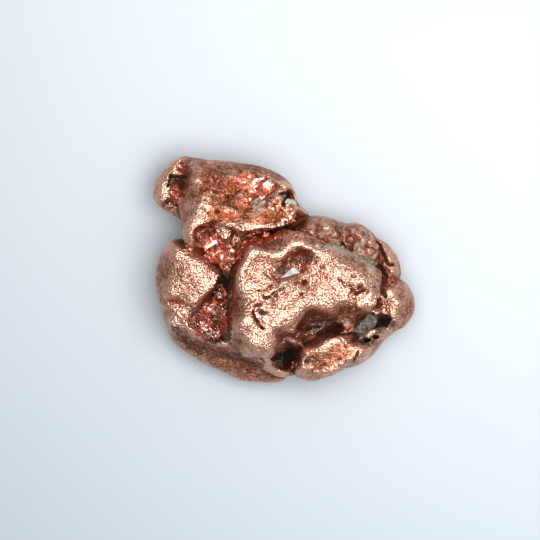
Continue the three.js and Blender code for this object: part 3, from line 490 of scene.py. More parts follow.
BACK_RIDGE = [
    (0.6, 4.2), (1.6, 5.4), (3, 5.95), (5, 5.65), (7, 5.1), (8.3, 5.15), (9.5, 4.4), (10.5, 3.3),
    (10.9, 2.2), (10.8, 0.8), (10.3, -0.3), (8.5, 0.2), (6, 1.4), (3.5, 2.4),
]
BACK_LUMP = [
    (10.1, 3.4), (11.5, 2.9), (12.4, 1.8), (12.95, 0.5), (12.85, -0.8), (11.5, -1.4), (10.6, -0.4),
    (10.1, 1.7),
]
RIGHT_KNOB = [
    (10.6, -1.3), (12.1, -0.9), (13.5, -1.5), (14.3, -2.6), (14.5, -4), (14.15, -5.2), (13.35, -6.15),
    (12.3, -6.4), (11.1, -5.7), (10.2, -4.6), (9.9, -3),
]
FRONT_RIGHT_LOBE = [
    (1.1, -9.2), (1.2, -11), (2.2, -11.9), (3.6, -12.1), (5.3, -11.4), (7, -10.7), (8.8, -10.05),
    (9.8, -9), (9.3, -7.6), (8.2, -6.9), (6.8, -6.2), (5, -6.5), (3.2, -7.3), (1.9, -8),
]
POCKET_WALL = [
    (7.4, -9.8), (9.7, -9.3), (11, -8), (12.3, -6.7), (12.9, -5.7), (12.4, -4.4), (9.8, -3.4),
    (7, -4.4), (6.6, -8),
]
PILLOW = [
    (-5.9, -1.5), (-5.5, 0.5), (-4.4, 2.4), (-2.3, 3.7), (0.5, 4.1), (3.5, 3.8), (6, 2.9), (8.3, 1.6),
    (10, 0.2), (10.9, -1.5), (10.6, -3.2), (9.3, -4.3), (7, -4.9), (4, -5.5), (2.3, -6.4), (1.6, -7.8),
    (0.4, -8.6), (-0.8, -9.2), (-2.2, -9.7), (-4.2, -9.2), (-5.8, -7.4), (-6.05, -4.5),
]
FRONT_APRON = [
    (-5.9, -4.6), (-5.95, -6.8), (-6.4, -8.6), (-4.6, -9.4), (-2.9, -10.3), (-1.7, -10.8), (-0.9, -10.2),
    (-0.6, -8.4), (-0.6, -5.6), (-2.5, -4.2),
]
FRONT_BUTTRESS = [
    (-3, -3.5), (2.4, -3.8), (2.7, -5.2), (2.4, -6.3), (2.5, -7), (1.6, -7.6), (0.2, -7.2), (-1.2, -7.2),
    (-2.6, -6.5),
]
RIGHT_FLANK = [(5.6, -3.6), (9.4, -3), (10, -4.5), (9, -5.2), (8.2, -6.2), (7.2, -6.7), (6.4, -6.2)]
FRONT_LIP = [
    (-1.6, -9, 8, 0.75), (-2, -9.8, 7.1, 0.8), (-1.5, -10.6, 6.3, 0.85), (-0.3, -11.1, 5.4, 0.8),
    (0.55, -11.2, 4.4, 0.6),
]
TONGUE = [(-6.3, 4.8, 8.2, 0.9), (-6.1, 3.9, 7.9, 0.9), (-6.2, 3.2, 7.3, 0.8)]  # from the head into the neck
HORN = [
    (-9.6, 10.4, 5, 1.9), (-10.7, 10.8, 4.9, 1.65), (-11.9, 10.1, 4.8, 1.6), (-12.6, 9.1, 4.7, 1.5),
    (-12.8, 8.2, 4.5, 1.4), (-12.5, 7.6, 4.3, 1.25), (-11.2, 6.8, 4.2, 1.1),
]
# Each mass: the width over which it runs into the masses before it, its kind and sizes.
MASSES = [
    (0.4, pebble, (LOW_BODY, 2.9, 6, 0.8, 2.6)),
    (0.6, pebble, (FRONT_SKIRT, 2.9, 5.9, 0.5, 2.4, (0.02, 0.42))),
    (0.4, pebble, (LEFT_LOBE, 4.4, 9, 0.8, 2.3, (0.08, 0.03), 2.6)),
    (1.3, pebble, (LEFT_LEDGE, 4.4, 7.9, 1.4, 1.5, (0.12, 0.06), 2.6)),
    (0.5, pebble, (HEAD, 4.6, 9.2, 0.9, 2.2, (-0.02, -0.3), 2.6)),
    (0.5, pebble, (HEAD_BROW, 7.2, 9.2, 5.9, 0.5, (-0.02, -0.05), 2.6)),
    (0.5, pebble, (LOBE_BROW, 7, 8.9, 5, 0.8, (0, 0.12), 2.4)),
    (0.5, pebble, (BACK_RIDGE, 4.2, 8.3, 1, 2.4, (-0.04, -0.12))),
    (0.3, pebble, (BACK_LUMP, 4.2, 7.1, 1.4, 1.8)),
    (0.3, pebble, (RIGHT_KNOB, 4.2, 7.5, 1.2, 2.4)),
    (0.3, pebble, (FRONT_RIGHT_LOBE, 3.9, 8.4, 0.8, 1.3, (0, 0.1), 2.2)),
    (0.4, pebble, (POCKET_WALL, 3.8, 7.6, 0.9, 1.8)),
    (0.4, pebble, (PILLOW, 5.2, 11.3, 1, 2.2, (-0.09, 0.05), 2.8)),
    (0.9, pebble, (FRONT_APRON, 4.4, 8.2, 1, 1.4, (0.08, 0.18), 3)),
    (0.5, pebble, (FRONT_BUTTRESS, 5, 11.1, 2, 0.9, (-0.06, 0.06), 2.6)),
    (0.4, egg, ((0.5, -7.9, 7.4), (1.4, 0.9, 1.9))),  # plate above the front hole
    (0.6, pebble, (RIGHT_FLANK, 4.5, 8.9, 2, 1, (0, 0.9), 2.4)),
    (0.8, rope, FRONT_LIP),
    (0.6, rope, HORN),
    (0.5, rope, TONGUE),
    # worn bumps underneath, on which the nugget stands
    (0.8, egg, ((-7.6, -5.4, 1.6), (3.2, 2.7, 2), 25)),
    (0.8, egg, ((7.6, -5, 1.6), (3.2, 2.6, 2), -20)),
    (0.8, egg, ((-3.2, 7, 1.7), (3.4, 2.4, 2.1), -10)),
    (0.9, egg, ((3.6, -0.6, 2), (4, 2.4, 1.6), 30)),
]
LONG_CLEFT = [
    (-7.9, 3, 9, 1.4), (-6.6, 1.6, 8.6, 1.4), (-6.5, -0.6, 8.1, 0.7), (-6.9, -2.8, 7.9, 0.9),
    (-7.6, -5, 8.1, 1.4), (-7.8, -6.4, 8.2, 1.2),
]
LIP_CLEFT = [(-5.8, 2.5, 8.2, 1), (-3.7, 3.4, 7.8, 0.8), (-1.2, 4, 7.7, 0.55), (0.5, 4.1, 8.1, 0.4)]
FRONT_GROOVE = [(2.2, -7.5, 8.2, 0.3), (3.4, -6.5, 8.1, 0.4), (5.4, -6, 8, 0.35), (6.9, -6.5, 7.9, 0.3)]
# Each cleft or hollow: the width over which its mouth is rounded, its kind and sizes.
HOLLOWS = [
    (0.4, rope, LONG_CLEFT),
    (0.3, rope, LIP_CLEFT),
    (1, egg, ((0.5, 0.3, 13.9), (4.7, 2.1, 3), 4)),  # crater in the pillow, and its deep end
    (0.6, egg, ((1.4, 0.35, 12.5), (3.1, 1.3, 2.3), 12)),
    (0.12, egg, ((0.65, -9.7, 7.4), (0.7, 1.3, 5.4), -14)),  # hole at the front
    (0.12, egg, ((-0.5, -9.5, 8), (1, 0.45, 3.6), 28)),
    (0.3, egg, ((-0.3, -10.5, 7.6), (0.9, 0.45, 2.2), -15)),
    (0.2, egg, ((9.2, -6.3, 7.9), (1.8, 0.95, 2.4), 48)),  # pocket: the bed of the rock
    (0.12, egg, ((11.1, -5.7, 7.4), (1.3, 0.7, 3.4), 12)),  # and dark pits beside it
    (0.12, egg, ((10.4, -6.3, 7.2), (0.75, 0.35, 2.4), 40)),
    (0.12, egg, ((9.2, -7.9, 7.2), (0.75, 0.35, 2.4), -12)),
    (0.1, egg, ((10.2, -7.6, 6.8), (0.4, 0.2, 1.8), 20)),
    (0.3, egg, ((-11.5, 8.8, 7.2), (0.9, 1.4, 2.4))),  # recess behind the horn
    (0.4, rope, FRONT_GROOVE),
    (0.4, egg, ((-2.9, 9.3, 9.6), (2.2, 1.3, 1.5), -15)),  # dish in the head
    (0.3, egg, ((0.7, 7.6, 8.3), (1, 0.8, 1.5), -10)),  # hole at the head's shoulder
    # underneath, between the bumps
    (0.8, egg, ((-1.2, 1, 0.2), (4.2, 2.6, 1.8), 20)),
    (0.6, egg, ((-9.6, 3.4, 0.6), (2.4, 2, 1.6), 60)),
    (0.6, egg, ((0.6, -7.6, 0.3), (2.6, 2.2, 1.6))),
    (0.6, egg, ((9, 1.4, 0.7), (2.4, 1.7, 1.5), -30)),
]

FAR = 10  # mm, a field value for open space
field = np.full(wave_x.shape, FAR, np.float32)
for blend, kind, sizes in MASSES:
    part, mass = kind(blend, *sizes)
    field[part] = joined(field[part], mass, blend)
for blend, kind, sizes in HOLLOWS:
    part, hollow = kind(blend, *sizes)
    field[part] = -joined(-field[part], hollow, blend)


def spline_weights(axis, spacing):
    """How much each knot of a row of them, so far apart, counts at each place on an axis."""
    START, END = -20, 20  # mm, past the nugget on every side
    knot = (axis - START) / spacing
    first = knot.astype(int)
    t = knot - first
    weights = np.zeros((len(axis), int((END - START) / spacing) + 4), np.float32)
    row = np.arange(len(axis))
    weights[row, first] = (1 - t) ** 3 / 6
    weights[row, first + 1] = (3 * t**3 - 6 * t**2 + 4) / 6
    weights[row, first + 2] = (-3 * t**3 + 3 * t**2 + 3 * t + 1) / 6
    weights[row, first + 3] = t**3 / 6
    return weights


def lumps(seed, spacing, grid_axes=axes):
    """Smooth random lumps all through a grid, about 1 high and so far apart in mm."""
    weights = [spline_weights(axis, spacing) for axis in grid_axes]
    knots = np.random.default_rng(seed).standard_normal([w.shape[1] for w in weights], np.float32)
    for weight in weights:
        knots = np.tensordot(knots, weight, axes=(0, 1))
    SPREAD = 0.35  # of a spline through knots whose own spread is 1
    return knots / SPREAD


# The skin's own unevenness: swells left by growth, dents left by tumbling, and shallow
# flakes, which are the folds of a noise where it changes sign.
DENTS = [(0.08, 1.9), (0.022, 0.8), (0.012, 0.42)]  # height and spacing of each size, mm
FLAKE = 0.03  # mm thick
CRUMPLE = 0.13  # mm, how rough the skin is where it is broken, stained or under a film
for seed, (dent, spacing) in enumerate(DENTS, 1):
    field += dent * lumps(seed, spacing)
field += FLAKE * (0.5 - np.minimum(np.abs(lumps(4, 1.1)), 1))
red_above = coverage(RED_POOLS, RED_SPOTS, PLAN_X, PLAN_Y)[:, :, None] * above
filmed = coverage(FILM_AND_SHADE_POOLS, FILM_AND_SHADE_SPOTS, PLAN_X, PLAN_Y)
rough_above = np.maximum(filmed, coverage(BROKEN_POOLS, [], PLAN_X, PLAN_Y))[:, :, None] * above
rough_above = np.maximum(red_above, rough_above)
field += rough_above * CRUMPLE * (0.7 - np.abs(lumps(5, 0.36)) - 0.6 * np.abs(lumps(6, 0.6)))
field = np.maximum(field, -np.broadcast_to(Z, field.shape))  # cut off level underneath


def fill_pinches(values):
    """A grid square whose corners are inside and outside by turns would pinch the net to
    a line. The shallower of its two outer corners is drawn just inside, until none is left."""
    just_inside = -0.01 * CELL
    while True:
        found = 0
        for u, v in ((0, 1), (1, 2), (2, 0)):
            steps = [np.zeros(3, int) for _ in range(4)]
            for corner, (a, b) in enumerate(((0, 0), (1, 0), (1, 1), (0, 1))):
                steps[corner][u], steps[corner][v] = a, b
            size = [n - (axis in (u, v)) for axis, n in enumerate(values.shape)]
            windows = [tuple(slice(at, at + length) for at, length in zip(step, size)) for step in steps]
            inside = [values[window] < 0 for window in windows]
            pinch = (inside[0] == inside[2]) & (inside[1] == inside[3]) & (inside[0] != inside[1])
            for spot_at in np.argwhere(pinch):
                corners = [tuple(spot_at + step) for step in steps]
                outer = [corner for corner in corners if values[corner] >= 0]
                if len(outer) == 2:
                    values[min(outer, key=lambda corner: values[corner])] = just_inside
                    found += 1
        if not found:
            return


def net(values, grid_axes):
    """A closed net over the places where a field is zero: a vertex in each grid cell that
    the surface passes through, and a quad round each grid edge that it crosses."""
    inside = values < 0
    shape = np.array(values.shape)
    corners = [(n & 1, (n >> 1) & 1, n >> 2) for n in range(8)]

    def shifted(array, step):
        return array[tuple(slice(s, s + n - 1) for s, n in zip(step, array.shape))]

    filled = sum(shifted(inside, corner).astype(np.int8) for corner in corners)
    cells = np.argwhere((filled > 0) & (filled < 8))
    total = np.zeros((len(cells), 3), np.float32)
    crossings = np.zeros(len(cells), np.float32)
    heights = [values[tuple((cells + corner).T)] for corner in corners]
    for n, corner in enumerate(corners):
        for axis in range(3):
            if corner[axis]:
                continue
            a, b = heights[n], heights[n | (1 << axis)]
            crossed = (a < 0) != (b < 0)
            share = np.where(crossed, a / np.where(crossed, a - b, 1), 0)
            place = np.tile(np.array(corner, np.float32), (len(cells), 1))
            place[:, axis] += share
            total += place * crossed[:, None]
            crossings += crossed
    start = np.array([axis[0] for axis in grid_axes])
    spacing = grid_axes[0][1] - grid_axes[0][0]
    vertices = start + (cells + total / crossings[:, None]) * spacing

    number = np.full(shape - 1, -1, np.int32)
    number[tuple(cells.T)] = np.arange(len(cells))
    quads = []
    for axis in range(3):
        u, v = (axis + 1) % 3, (axis + 2) % 3
        step = np.eye(3, dtype=int)
        lower = inside[tuple(slice(1, n - 1) for n in shape)]
        upper = inside[tuple(slice(1 + step[axis][k], n - 1 + step[axis][k]) for k, n in enumerate(shape))]
        crossed = np.argwhere(lower != upper) + 1
        outwards = inside[tuple(crossed.T)]
        ring = [crossed - step[u] - step[v], crossed - step[v], crossed, crossed - step[u]]
        quad = np.stack([number[tuple(corner.T)] for corner in ring], axis=1)
        quad[~outwards] = quad[~outwards][:, ::-1]
        quads.append(quad)
    return vertices, np.concatenate(quads)


def largest_piece(vertices, quads):
    """Only the largest of the separate pieces of a mesh."""
    label = np.arange(len(vertices))
    a, b = quads, np.roll(quads, -1, axis=1)
    while True:
        lowest = label.copy()
        np.minimum.at(lowest, a.ravel(), label[b].ravel())
        np.minimum.at(lowest, b.ravel(), label[a].ravel())
        lowest = lowest[lowest]
        if np.array_equal(lowest, label):
            break
        label = lowest
    kept = label == np.bincount(label).argmax()
    number = np.cumsum(kept) - 1
    return vertices[kept], number[quads[kept[quads[:, 0]]]]


def piece_from(name, vertices, faces, smooth=True):
    """A new object in the scene from a mesh given in mm."""
    mesh = bpy.data.meshes.new(name)
    mesh.from_pydata([], [], [])
    vertices = np.asarray(vertices, np.float32) * MM
    faces = np.asarray(faces, np.int32)
    sides = faces.shape[1]
    mesh.vertices.add(len(vertices))
    mesh.vertices.foreach_set("co", vertices.ravel())
    mesh.loops.add(faces.size)
    mesh.loops.foreach_set("vertex_index", faces.ravel())
    mesh.polygons.add(len(faces))
    mesh.polygons.foreach_set("loop_start", np.arange(0, faces.size, sides, dtype=np.int32))
    mesh.update(calc_edges=True)
    mesh.polygons.foreach_set("use_smooth", np.full(len(faces), smooth))
    mesh.validate()
    piece = bpy.data.objects.new(name, mesh)
    bpy.context.scene.collection.objects.link(piece)
    return piece


def applied(piece):
    """Turns a piece's modifiers into its mesh."""
    bpy.context.view_layer.update()
    finished = piece.evaluated_get(bpy.context.evaluated_depsgraph_get())
    mesh = bpy.data.meshes.new_from_object(finished)
    mesh.name = piece.name
    piece.modifiers.clear()
    piece.data = mesh


fill_pinches(field)
copper_net = largest_piece(*net(field, axes))
copper = piece_from("copper", *copper_net)
if 2 * len(copper_net[1]) > TRIANGLES:
    thinning = copper.modifiers.new("thinning", "DECIMATE")
    thinning.ratio = TRIANGLES / (2 * len(copper_net[1]))
    applied(copper)


def averaged(values, reach):
    """Values averaged over a cube that reaches so many cells each way."""
    for axis in range(3):
        grown = np.pad(values, [(reach + 1, reach) if n == axis else (0, 0) for n in range(3)], mode="edge")
        total = np.cumsum(grown, axis=axis, dtype=np.float32)
        high = np.take(total, np.arange(2 * reach + 1, total.shape[axis]), axis=axis)
        low = np.take(total, np.arange(0, total.shape[axis] - 2 * reach - 1), axis=axis)
        values = (high - low) / (2 * reach + 1)
    return values


def sampled(values, points):
    """Grid values at points given in mm."""
    start = np.array([axis[0] for axis in axes])
    spots = np.rint((points - start) / CELL).astype(int)
    return values[tuple(np.clip(spots, 0, np.array(values.shape) - 1).T)]


def vertex_places(piece):
    """A piece's vertices in mm, and its normals there."""
    count = len(piece.data.vertices)
    places = np.empty(3 * count, np.float32)
    normals = np.empty(3 * count, np.float32)
    piece.data.vertices.foreach_get("co", places)
    piece.data.vertex_normals.foreach_get("vector", normals)
    return places.reshape(-1, 3) / MM, normals.reshape(-1, 3)


def paint(piece, name, values):
    """Stores a value at each vertex of a piece, for its material to read."""
    layer = piece.data.attributes.new(name, "FLOAT", "POINT")
    layer.data.foreach_set("value", np.asarray(values, np.float32))


# Where the copper is worn, tarnished or stained. The share of copper in a small cube
# round a place is a half on a flat, less on a crest, which tumbling keeps bright, and
# more in a hollow, which stays brown.
places, normals = vertex_places(copper)
plan, height = (places[:, 0], places[:, 1]), places[:, 2]
occupied = (field < 0).astype(np.float32)
FINE, BROAD = 0.4, 1.1  # mm from the middle of the cube to each side
fine, broad = (sampled(averaged(occupied, round(reach / CELL)), places) for reach in (FINE, BROAD))
upper = eased((height - GIRTH + 1) / MARKS_FADE) * eased(normals[:, 2] * 3 + 0.5)
paint(copper, "hollow", eased((fine - 0.5) / 0.22) * 0.6 + eased((broad - 0.52) / 0.25) * 0.7)
paint(copper, "wear", eased((0.5 - fine) / 0.16) * 0.5 + eased((0.5 - broad) / 0.2) * 0.7)

# Creases and pits keep their film, the film pools add their oxide film and painted shade, and creases deeper
# than DEEP get painted black shadow.
DEEP = 0.35  # mm
crease = np.zeros(len(places), np.float32)
painted_shadow_line = np.zeros(len(places), np.float32)
for depth, half_width, trail in CREASES:
    off, _ = along_trail(trail, *plan)
    crease = np.maximum(crease, min(depth / DEEP, 1) * np.exp(-((off / (0.85 * half_width)) ** 2)))
    painted_shadow_share = eased((depth - DEEP) / 0.25) * np.exp(-((off / (0.8 * half_width)) ** 2))
    painted_shadow_line = np.maximum(painted_shadow_line, painted_shadow_share)
for depth, radius, px, py in PITS:
    off = np.hypot(plan[0] - px, plan[1] - py)
    crease = np.maximum(crease, min(depth / DEEP, 1) * np.exp(-((off / (0.8 * radius)) ** 2)))
# The film pools: oxide film, and painted shade in the cleft, the crater, the holes, the pocket and the skirt.
kept_film_and_shade = coverage(FILM_AND_SHADE_POOLS, FILM_AND_SHADE_SPOTS, *plan) * eased((height - 1.5) / MARKS_FADE)
paint(copper, "crease", np.maximum(crease * upper, kept_film_and_shade))
# Painted shadow: black in the deepest holes and pits, kept to sunk places, and along creases deeper than
# DEEP.
painted_shadow = coverage(PAINTED_SHADOW_POOLS, PAINTED_SHADOW_SPOTS, *plan) * eased(height - 0.3)
painted_shadow *= eased((broad - 0.47) / 0.1)
painted_shadow_line *= upper * eased((fine - 0.47) / 0.1)
paint(copper, "painted_shadow", np.maximum(painted_shadow, painted_shadow_line))

# The steep sides are duller than the top, whose crests are polished most.
dull_side = 0.8 * eased((0.92 - normals[:, 2]) / 0.45)
paint(copper, "dull", np.maximum(coverage(DULL_POOLS, DULL_SPOTS, *plan), dull_side))
paint(copper, "red", coverage(RED_POOLS, RED_SPOTS, *plan) * upper)
paint(copper, "grey", coverage(GREY_POOLS, GREY_SPOTS, *plan) * upper)


def linear(colour):
    """An sRGB hex colour as linear red, green, blue and alpha."""
    parts = [int(colour[n : n + 2], 16) / 255 for n in (1, 3, 5)]
    return (*(c / 12.92 if c <= 0.04045 else ((c + 0.055) / 1.055) ** 2.4 for c in parts), 1)


def per_metre(size):
    """The scale of a texture whose features are so many mm across."""
    return 1 / (size * MM)


def add(tree, kind, sockets=None, **settings):
    """Adds a shader node with its settings, its values and its links, and gives its outputs."""
    made = tree.nodes.new("ShaderNode" + kind)
    for setting, value in settings.items():
        setattr(made, setting, value)
    for socket, value in (sockets or {}).items():
        if isinstance(value, bpy.types.NodeSocket):
            tree.links.new(value, made.inputs[socket])
        else:
            made.inputs[socket].default_value = value
    return made.outputs


def noise(tree, where, size, detail, rough=0.5, **settings):
    """Noise whose features are so many mm across, with finer detail in them."""
    sockets = {"Vector": where, "Scale": per_metre(size), "Detail": detail, "Roughness": rough}
    return add(tree, "TexNoise", sockets, **settings)["Fac"]


def remapped(tree, value, low, high, start=0, end=1):
    """Goes from start to end as a value goes from low to high, and no further."""
    return add(tree, "MapRange", {0: value, 1: low, 2: high, 3: start, 4: end})[0]


def added(tree, value, factor, rest):
    """A value times a factor, added to the rest."""
    return add(tree, "Math", {0: value, 1: factor, 2: rest}, operation="MULTIPLY_ADD")[0]


def mixed(tree, share, first, second):
    """A colour that goes from the first to the second as share goes from 0 to 1."""
    return add(tree, "Mix", {0: share, 6: first, 7: second}, data_type="RGBA")[2]


def lay_surface(tree, out, look):
    """Ends a material with a surface that looks so."""
    tree.links.new(add(tree, "BsdfPrincipled", look)["BSDF"], out.inputs["Surface"])


def new_material(name):
    """An empty material, its node tree and its output node."""
    material = bpy.data.materials.new(name)
    material.use_nodes = True
    tree = material.node_tree
    tree.nodes.clear()
    return material, tree, tree.nodes.new("ShaderNodeOutputMaterial")


# Native copper, peened satin by tumbling: bright pinkish metal on the crests, browner
# metal where it has tarnished, a dull brown oxide film in the hollows, which in the deep
# pools is also painted shade, red where thin cuprite covers it, grey where rock dust is
# pressed into it and painted black shadow in the deepest pits.
PALE_COPPER = linear("#dca992")
PIT_BROWN = linear("#693822")
BROWN_COPPER = linear("#854326")
OXIDE_AND_SHADE_BROWN = linear("#40200f")
CUPRITE_STAIN = linear("#b2381a")
DEEP_STAIN = linear("#4e120a")
ROCK_DUST = linear("#a09a8b")
# Black painted as shadow into the deepest pits.
PAINTED_SHADOW_BLACK = linear("#120b09")

copper_skin, tree, out = new_material("native_copper_tumbled_satin")
where = add(tree, "TexCoord")["Object"]
# Fine grain, blotches of tarnish and broad clouds: size in mm, detail and roughness.
grain, blotch, cloud = (
    noise(tree, where, size, detail, rough)
    for size, detail, rough in ((0.2, 1, 0.5), (0.75, 4, 0.6), (3.5, 3, 0.55))
)
dent_size = {"Vector": where, "Scale": per_metre(0.34)}
peening = add(tree, "TexVoronoi", dent_size, feature="SMOOTH_F1")["Distance"]
hollow, wear, creases_and_shade, red, grey, dull, painted_shadow = (
    add(tree, "Attribute", attribute_name=name)["Fac"]
    for name in ("hollow", "wear", "crease", "red", "grey", "dull", "painted_shadow")
)

# Tarnish: more in hollows, less on crests, broken up by blotches and grain.
tarnish = add(tree, "Math", {0: hollow, 1: wear}, operation="SUBTRACT")[0]
grain_share = added(tree, dull, 1.5, -3.0)
for pattern, share in ((dull, -0.05), (cloud, 1.0), (blotch, 1.4), (grain, grain_share)):
    tarnish = added(tree, pattern, share, tarnish)
browned = remapped(tree, tarnish, -0.6, 0.5)
metal = mixed(tree, browned, PALE_COPPER, BROWN_COPPER)
pit_depth = remapped(tree, blotch, 0.4, 0.6, 0.12, 0.7)
pit_depth = added(tree, dull, -0.2, pit_depth)
pitted = remapped(tree, grain, 0.48, 0.34, 0, pit_depth)
metal = mixed(tree, pitted, metal, PIT_BROWN)

# Oxide film, with painted shade from the film pools: deep in the hollows and along cracks.
film_and_shade = added(tree, grain, -0.8, hollow)
film_and_shade = remapped(tree, film_and_shade, 0.2, 1.0)
marked = added(tree, grain, -1.4, creases_and_shade)
marked = remapped(tree, marked, -0.4, 0.2)
film_and_shade = add(tree, "Math", {0: film_and_shade, 1: marked}, operation="MAXIMUM")[0]
colour = mixed(tree, film_and_shade, metal, OXIDE_AND_SHADE_BROWN)

# Cuprite stain, broken at its edge by the blotches.
stain = added(tree, blotch, 0.9, red)
stain = remapped(tree, stain, 0.75, 1.0)
depth_of_red = remapped(tree, grain, 0.4, 0.62)
red_colour = mixed(tree, depth_of_red, DEEP_STAIN, CUPRITE_STAIN)
colour = mixed(tree, stain, colour, red_colour)

# Rock dust, patchy.
dust = add(tree, "Math", {0: blotch, 1: grey}, operation="ADD")[0]
dust = added(tree, grain, -2.2, dust)
dust = remapped(tree, dust, 0.0, 0.6, 0, 0.85)
colour = mixed(tree, dust, colour, ROCK_DUST)

# Painted shadow in the deepest pits: black, broken into crumbs by the grain.
painted_shadow_crumbs = added(tree, grain, -1.2, painted_shadow)
painted_shadow_crumbs = remapped(tree, painted_shadow_crumbs, -0.1, 0.25)
colour = mixed(tree, painted_shadow_crumbs, colour, PAINTED_SHADOW_BLACK)

# What covers the metal hides its shine, the film only in part.
covered = add(tree, "Math", {0: film_and_shade, 1: 0.7}, operation="MULTIPLY")[0]
for cover in (stain, dust, painted_shadow_crumbs):
    covered = add(tree, "Math", {0: covered, 1: cover}, operation="MAXIMUM")[0]
metallic = add(tree, "Math", {0: 1.0, 1: covered}, operation="SUBTRACT")[0]
roughness = remapped(tree, tarnish, -0.8, 0.8, 0.25, 0.38)
for cover, share in ((dull, 0.14), (film_and_shade, 0.25), (dust, 0.45), (painted_shadow_crumbs, 0.6)):
    roughness = added(tree, cover, share, roughness)

# Height of the skin in mm: grain, blotches, the small overlapping dents of peening and
# fine crinkles.
crinkle = noise(tree, where, 1.1, 2, noise_type="RIDGED_MULTIFRACTAL")
grain_height = added(tree, dull, -0.05, 0.15)
skin = add(tree, "Math", {0: grain, 1: grain_height}, operation="MULTIPLY")[0]
for pattern, share in ((blotch, 0.08), (peening, 0.04), (crinkle, 0.012)):
    skin = added(tree, pattern, share, skin)
bump = add(tree, "Bump", {"Height": skin, "Distance": MM, "Strength": 1.0})["Normal"]
look = {"Base Color": colour, "Metallic": metallic, "Roughness": roughness, "Normal": bump}
lay_surface(tree, out, look)

copper.data.materials.append(copper_skin)
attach(copper, "root")
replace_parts(copper, "copper_nugget")

# ---------------------------------------------------------------------- matrix rock
# Three crumbs of the grey rock that the copper grew in, still caught in its hollows: a
# dull fine-grained lump in the front pocket, and two paler flat chips with broken edges.

ROCK_CELL = 0.09  # spacing of the net over a chip, mm
BEDDED = 0.3  # mm that rock packed into a hollow reaches into the copper


def grid_around(low, high):
    """Axes and places of a fine grid that holds a small piece, with some room round it."""
    small_axes = [
        np.arange(start - 4 * ROCK_CELL, end + 4 * ROCK_CELL, ROCK_CELL, dtype=np.float32)
        for start, end in zip(low, high)
    ]
    return small_axes, np.meshgrid(*small_axes, indexing="ij", sparse=True)


def chip_net(outline, height, thickness, seed, tilt=(0, 0)):
    """The net of a flat chip with a broken outline, lying tilted at a height."""
    points = np.array(outline, np.float32)
    low = np.array([*points.min(axis=0), height - thickness])
    high = np.array([*points.max(axis=0), height + thickness])
    small_axes, (x, y, z) = grid_around(low, high)
    middle = points.mean(axis=0)
    level = height + tilt[0] * (x - middle[0]) + tilt[1] * (y - middle[1])
    edge = -depth_inside(outline, x, y)
    chip = np.maximum(edge, np.abs(z - level) - thickness / 2) + 0.03 * lumps(seed, 0.35, small_axes)
    fill_pinches(chip)
    return largest_piece(*net(chip, small_axes))


def part_between(low, high):
    """The part of the copper's grid between two corners, and its axes."""
    part = tuple(slice(*np.searchsorted(axis, ends)) for axis, ends in zip(axes, zip(low, high)))
    return part, [axis[span] for axis, span in zip(axes, part)]


def closed_net(values, part_axes):
    """The net of a field on part of the grid, closed where it meets the part's ends."""
    values = np.pad(values[1:-1, 1:-1, 1:-1], 1, constant_values=1)
    fill_pinches(values)
    return net(values, part_axes)


def packed_net(outline, level, low, high, seed):
    """The net of rock packed into the copper's hollows inside an outline, up to a level."""
    part, part_axes = part_between(low, high)
    x, y, z = np.meshgrid(*part_axes, indexing="ij", sparse=True)
    uneven = lumps(seed, 0.8, part_axes) - np.abs(lumps(seed + 1, 0.35, part_axes))
    rock = np.maximum(-0.2 * uneven - depth_inside(outline, x, y), z - level - 0.3 * uneven)
    rock = np.maximum(rock, -field[part] - BEDDED)
    return largest_piece(*closed_net(rock, part_axes))


def rock_finish(name, dark, pale, speck):
    """Fine-grained stone with a dull broken surface, mottled between two greys, with
    sparse darker specks."""
    material, tree, out = new_material(name)
    where = add(tree, "TexCoord")["Object"]
    mottle = noise(tree, where, 0.5, 4)
    grain = noise(tree, where, 0.16, 3)
    share = remapped(tree, mottle, 0.35, 0.65)
    colour = mixed(tree, share, linear(dark), linear(pale))
    specks = remapped(tree, grain, 0.56, 0.68)
    colour = mixed(tree, specks, colour, linear(speck))
    roughness = remapped(tree, grain, 0, 1, 0.95, 0.55)
    skin = add(tree, "Math", {0: mottle, 1: 0.12}, operation="MULTIPLY")[0]
    skin = added(tree, grain, 0.08, skin)
    bump = add(tree, "Bump", {"Height": skin, "Distance": MM, "Strength": 0.8})["Normal"]
    look = {"Base Color": colour, "Roughness": roughness, "Normal": bump}
    lay_surface(tree, out, look)
    return material


matrix_rock = rock_finish("matrix_rock_grey_green", "#3f3a2f", "#746d5c", "#15120e")
pale_rock = rock_finish("matrix_rock_pale_chip", "#8a8a83", "#c0c2bd", "#5a5b54")

POCKET_FILL = [
    (7.8, -6.6), (8.3, -5.9), (8.9, -5.4), (9.3, -4.9), (10.1, -5), (10.4, -5.5), (10, -6), (9.8, -6.7),
    (9.5, -7.2), (9.1, -7.6), (8.7, -7.8), (8.4, -7.2),
]
CRATER_CHIP = [
    (-0.4, -1.05), (0.2, -0.55), (0.55, -0.2), (1.05, 0.2), (1.3, 0.3), (1.55, 0.15), (1.95, -0.22),
    (2, -0.32), (1.9, -0.4), (0.9, -0.58), (0.1, -0.95),
]
SHOULDER_CHIP = [(0.3, 7.3), (0.55, 7.8), (1, 7.75), (1.4, 7.55), (1.5, 7.15), (0.9, 7.3)]


def ground(x, y):
    """The height in mm of the copper's upper side at a place."""
    column = sampled(field, np.stack([np.full(axes[2].shape, x), np.full(axes[2].shape, y), axes[2]], axis=1))
    return axes[2][np.flatnonzero(column < 0)[-1]]


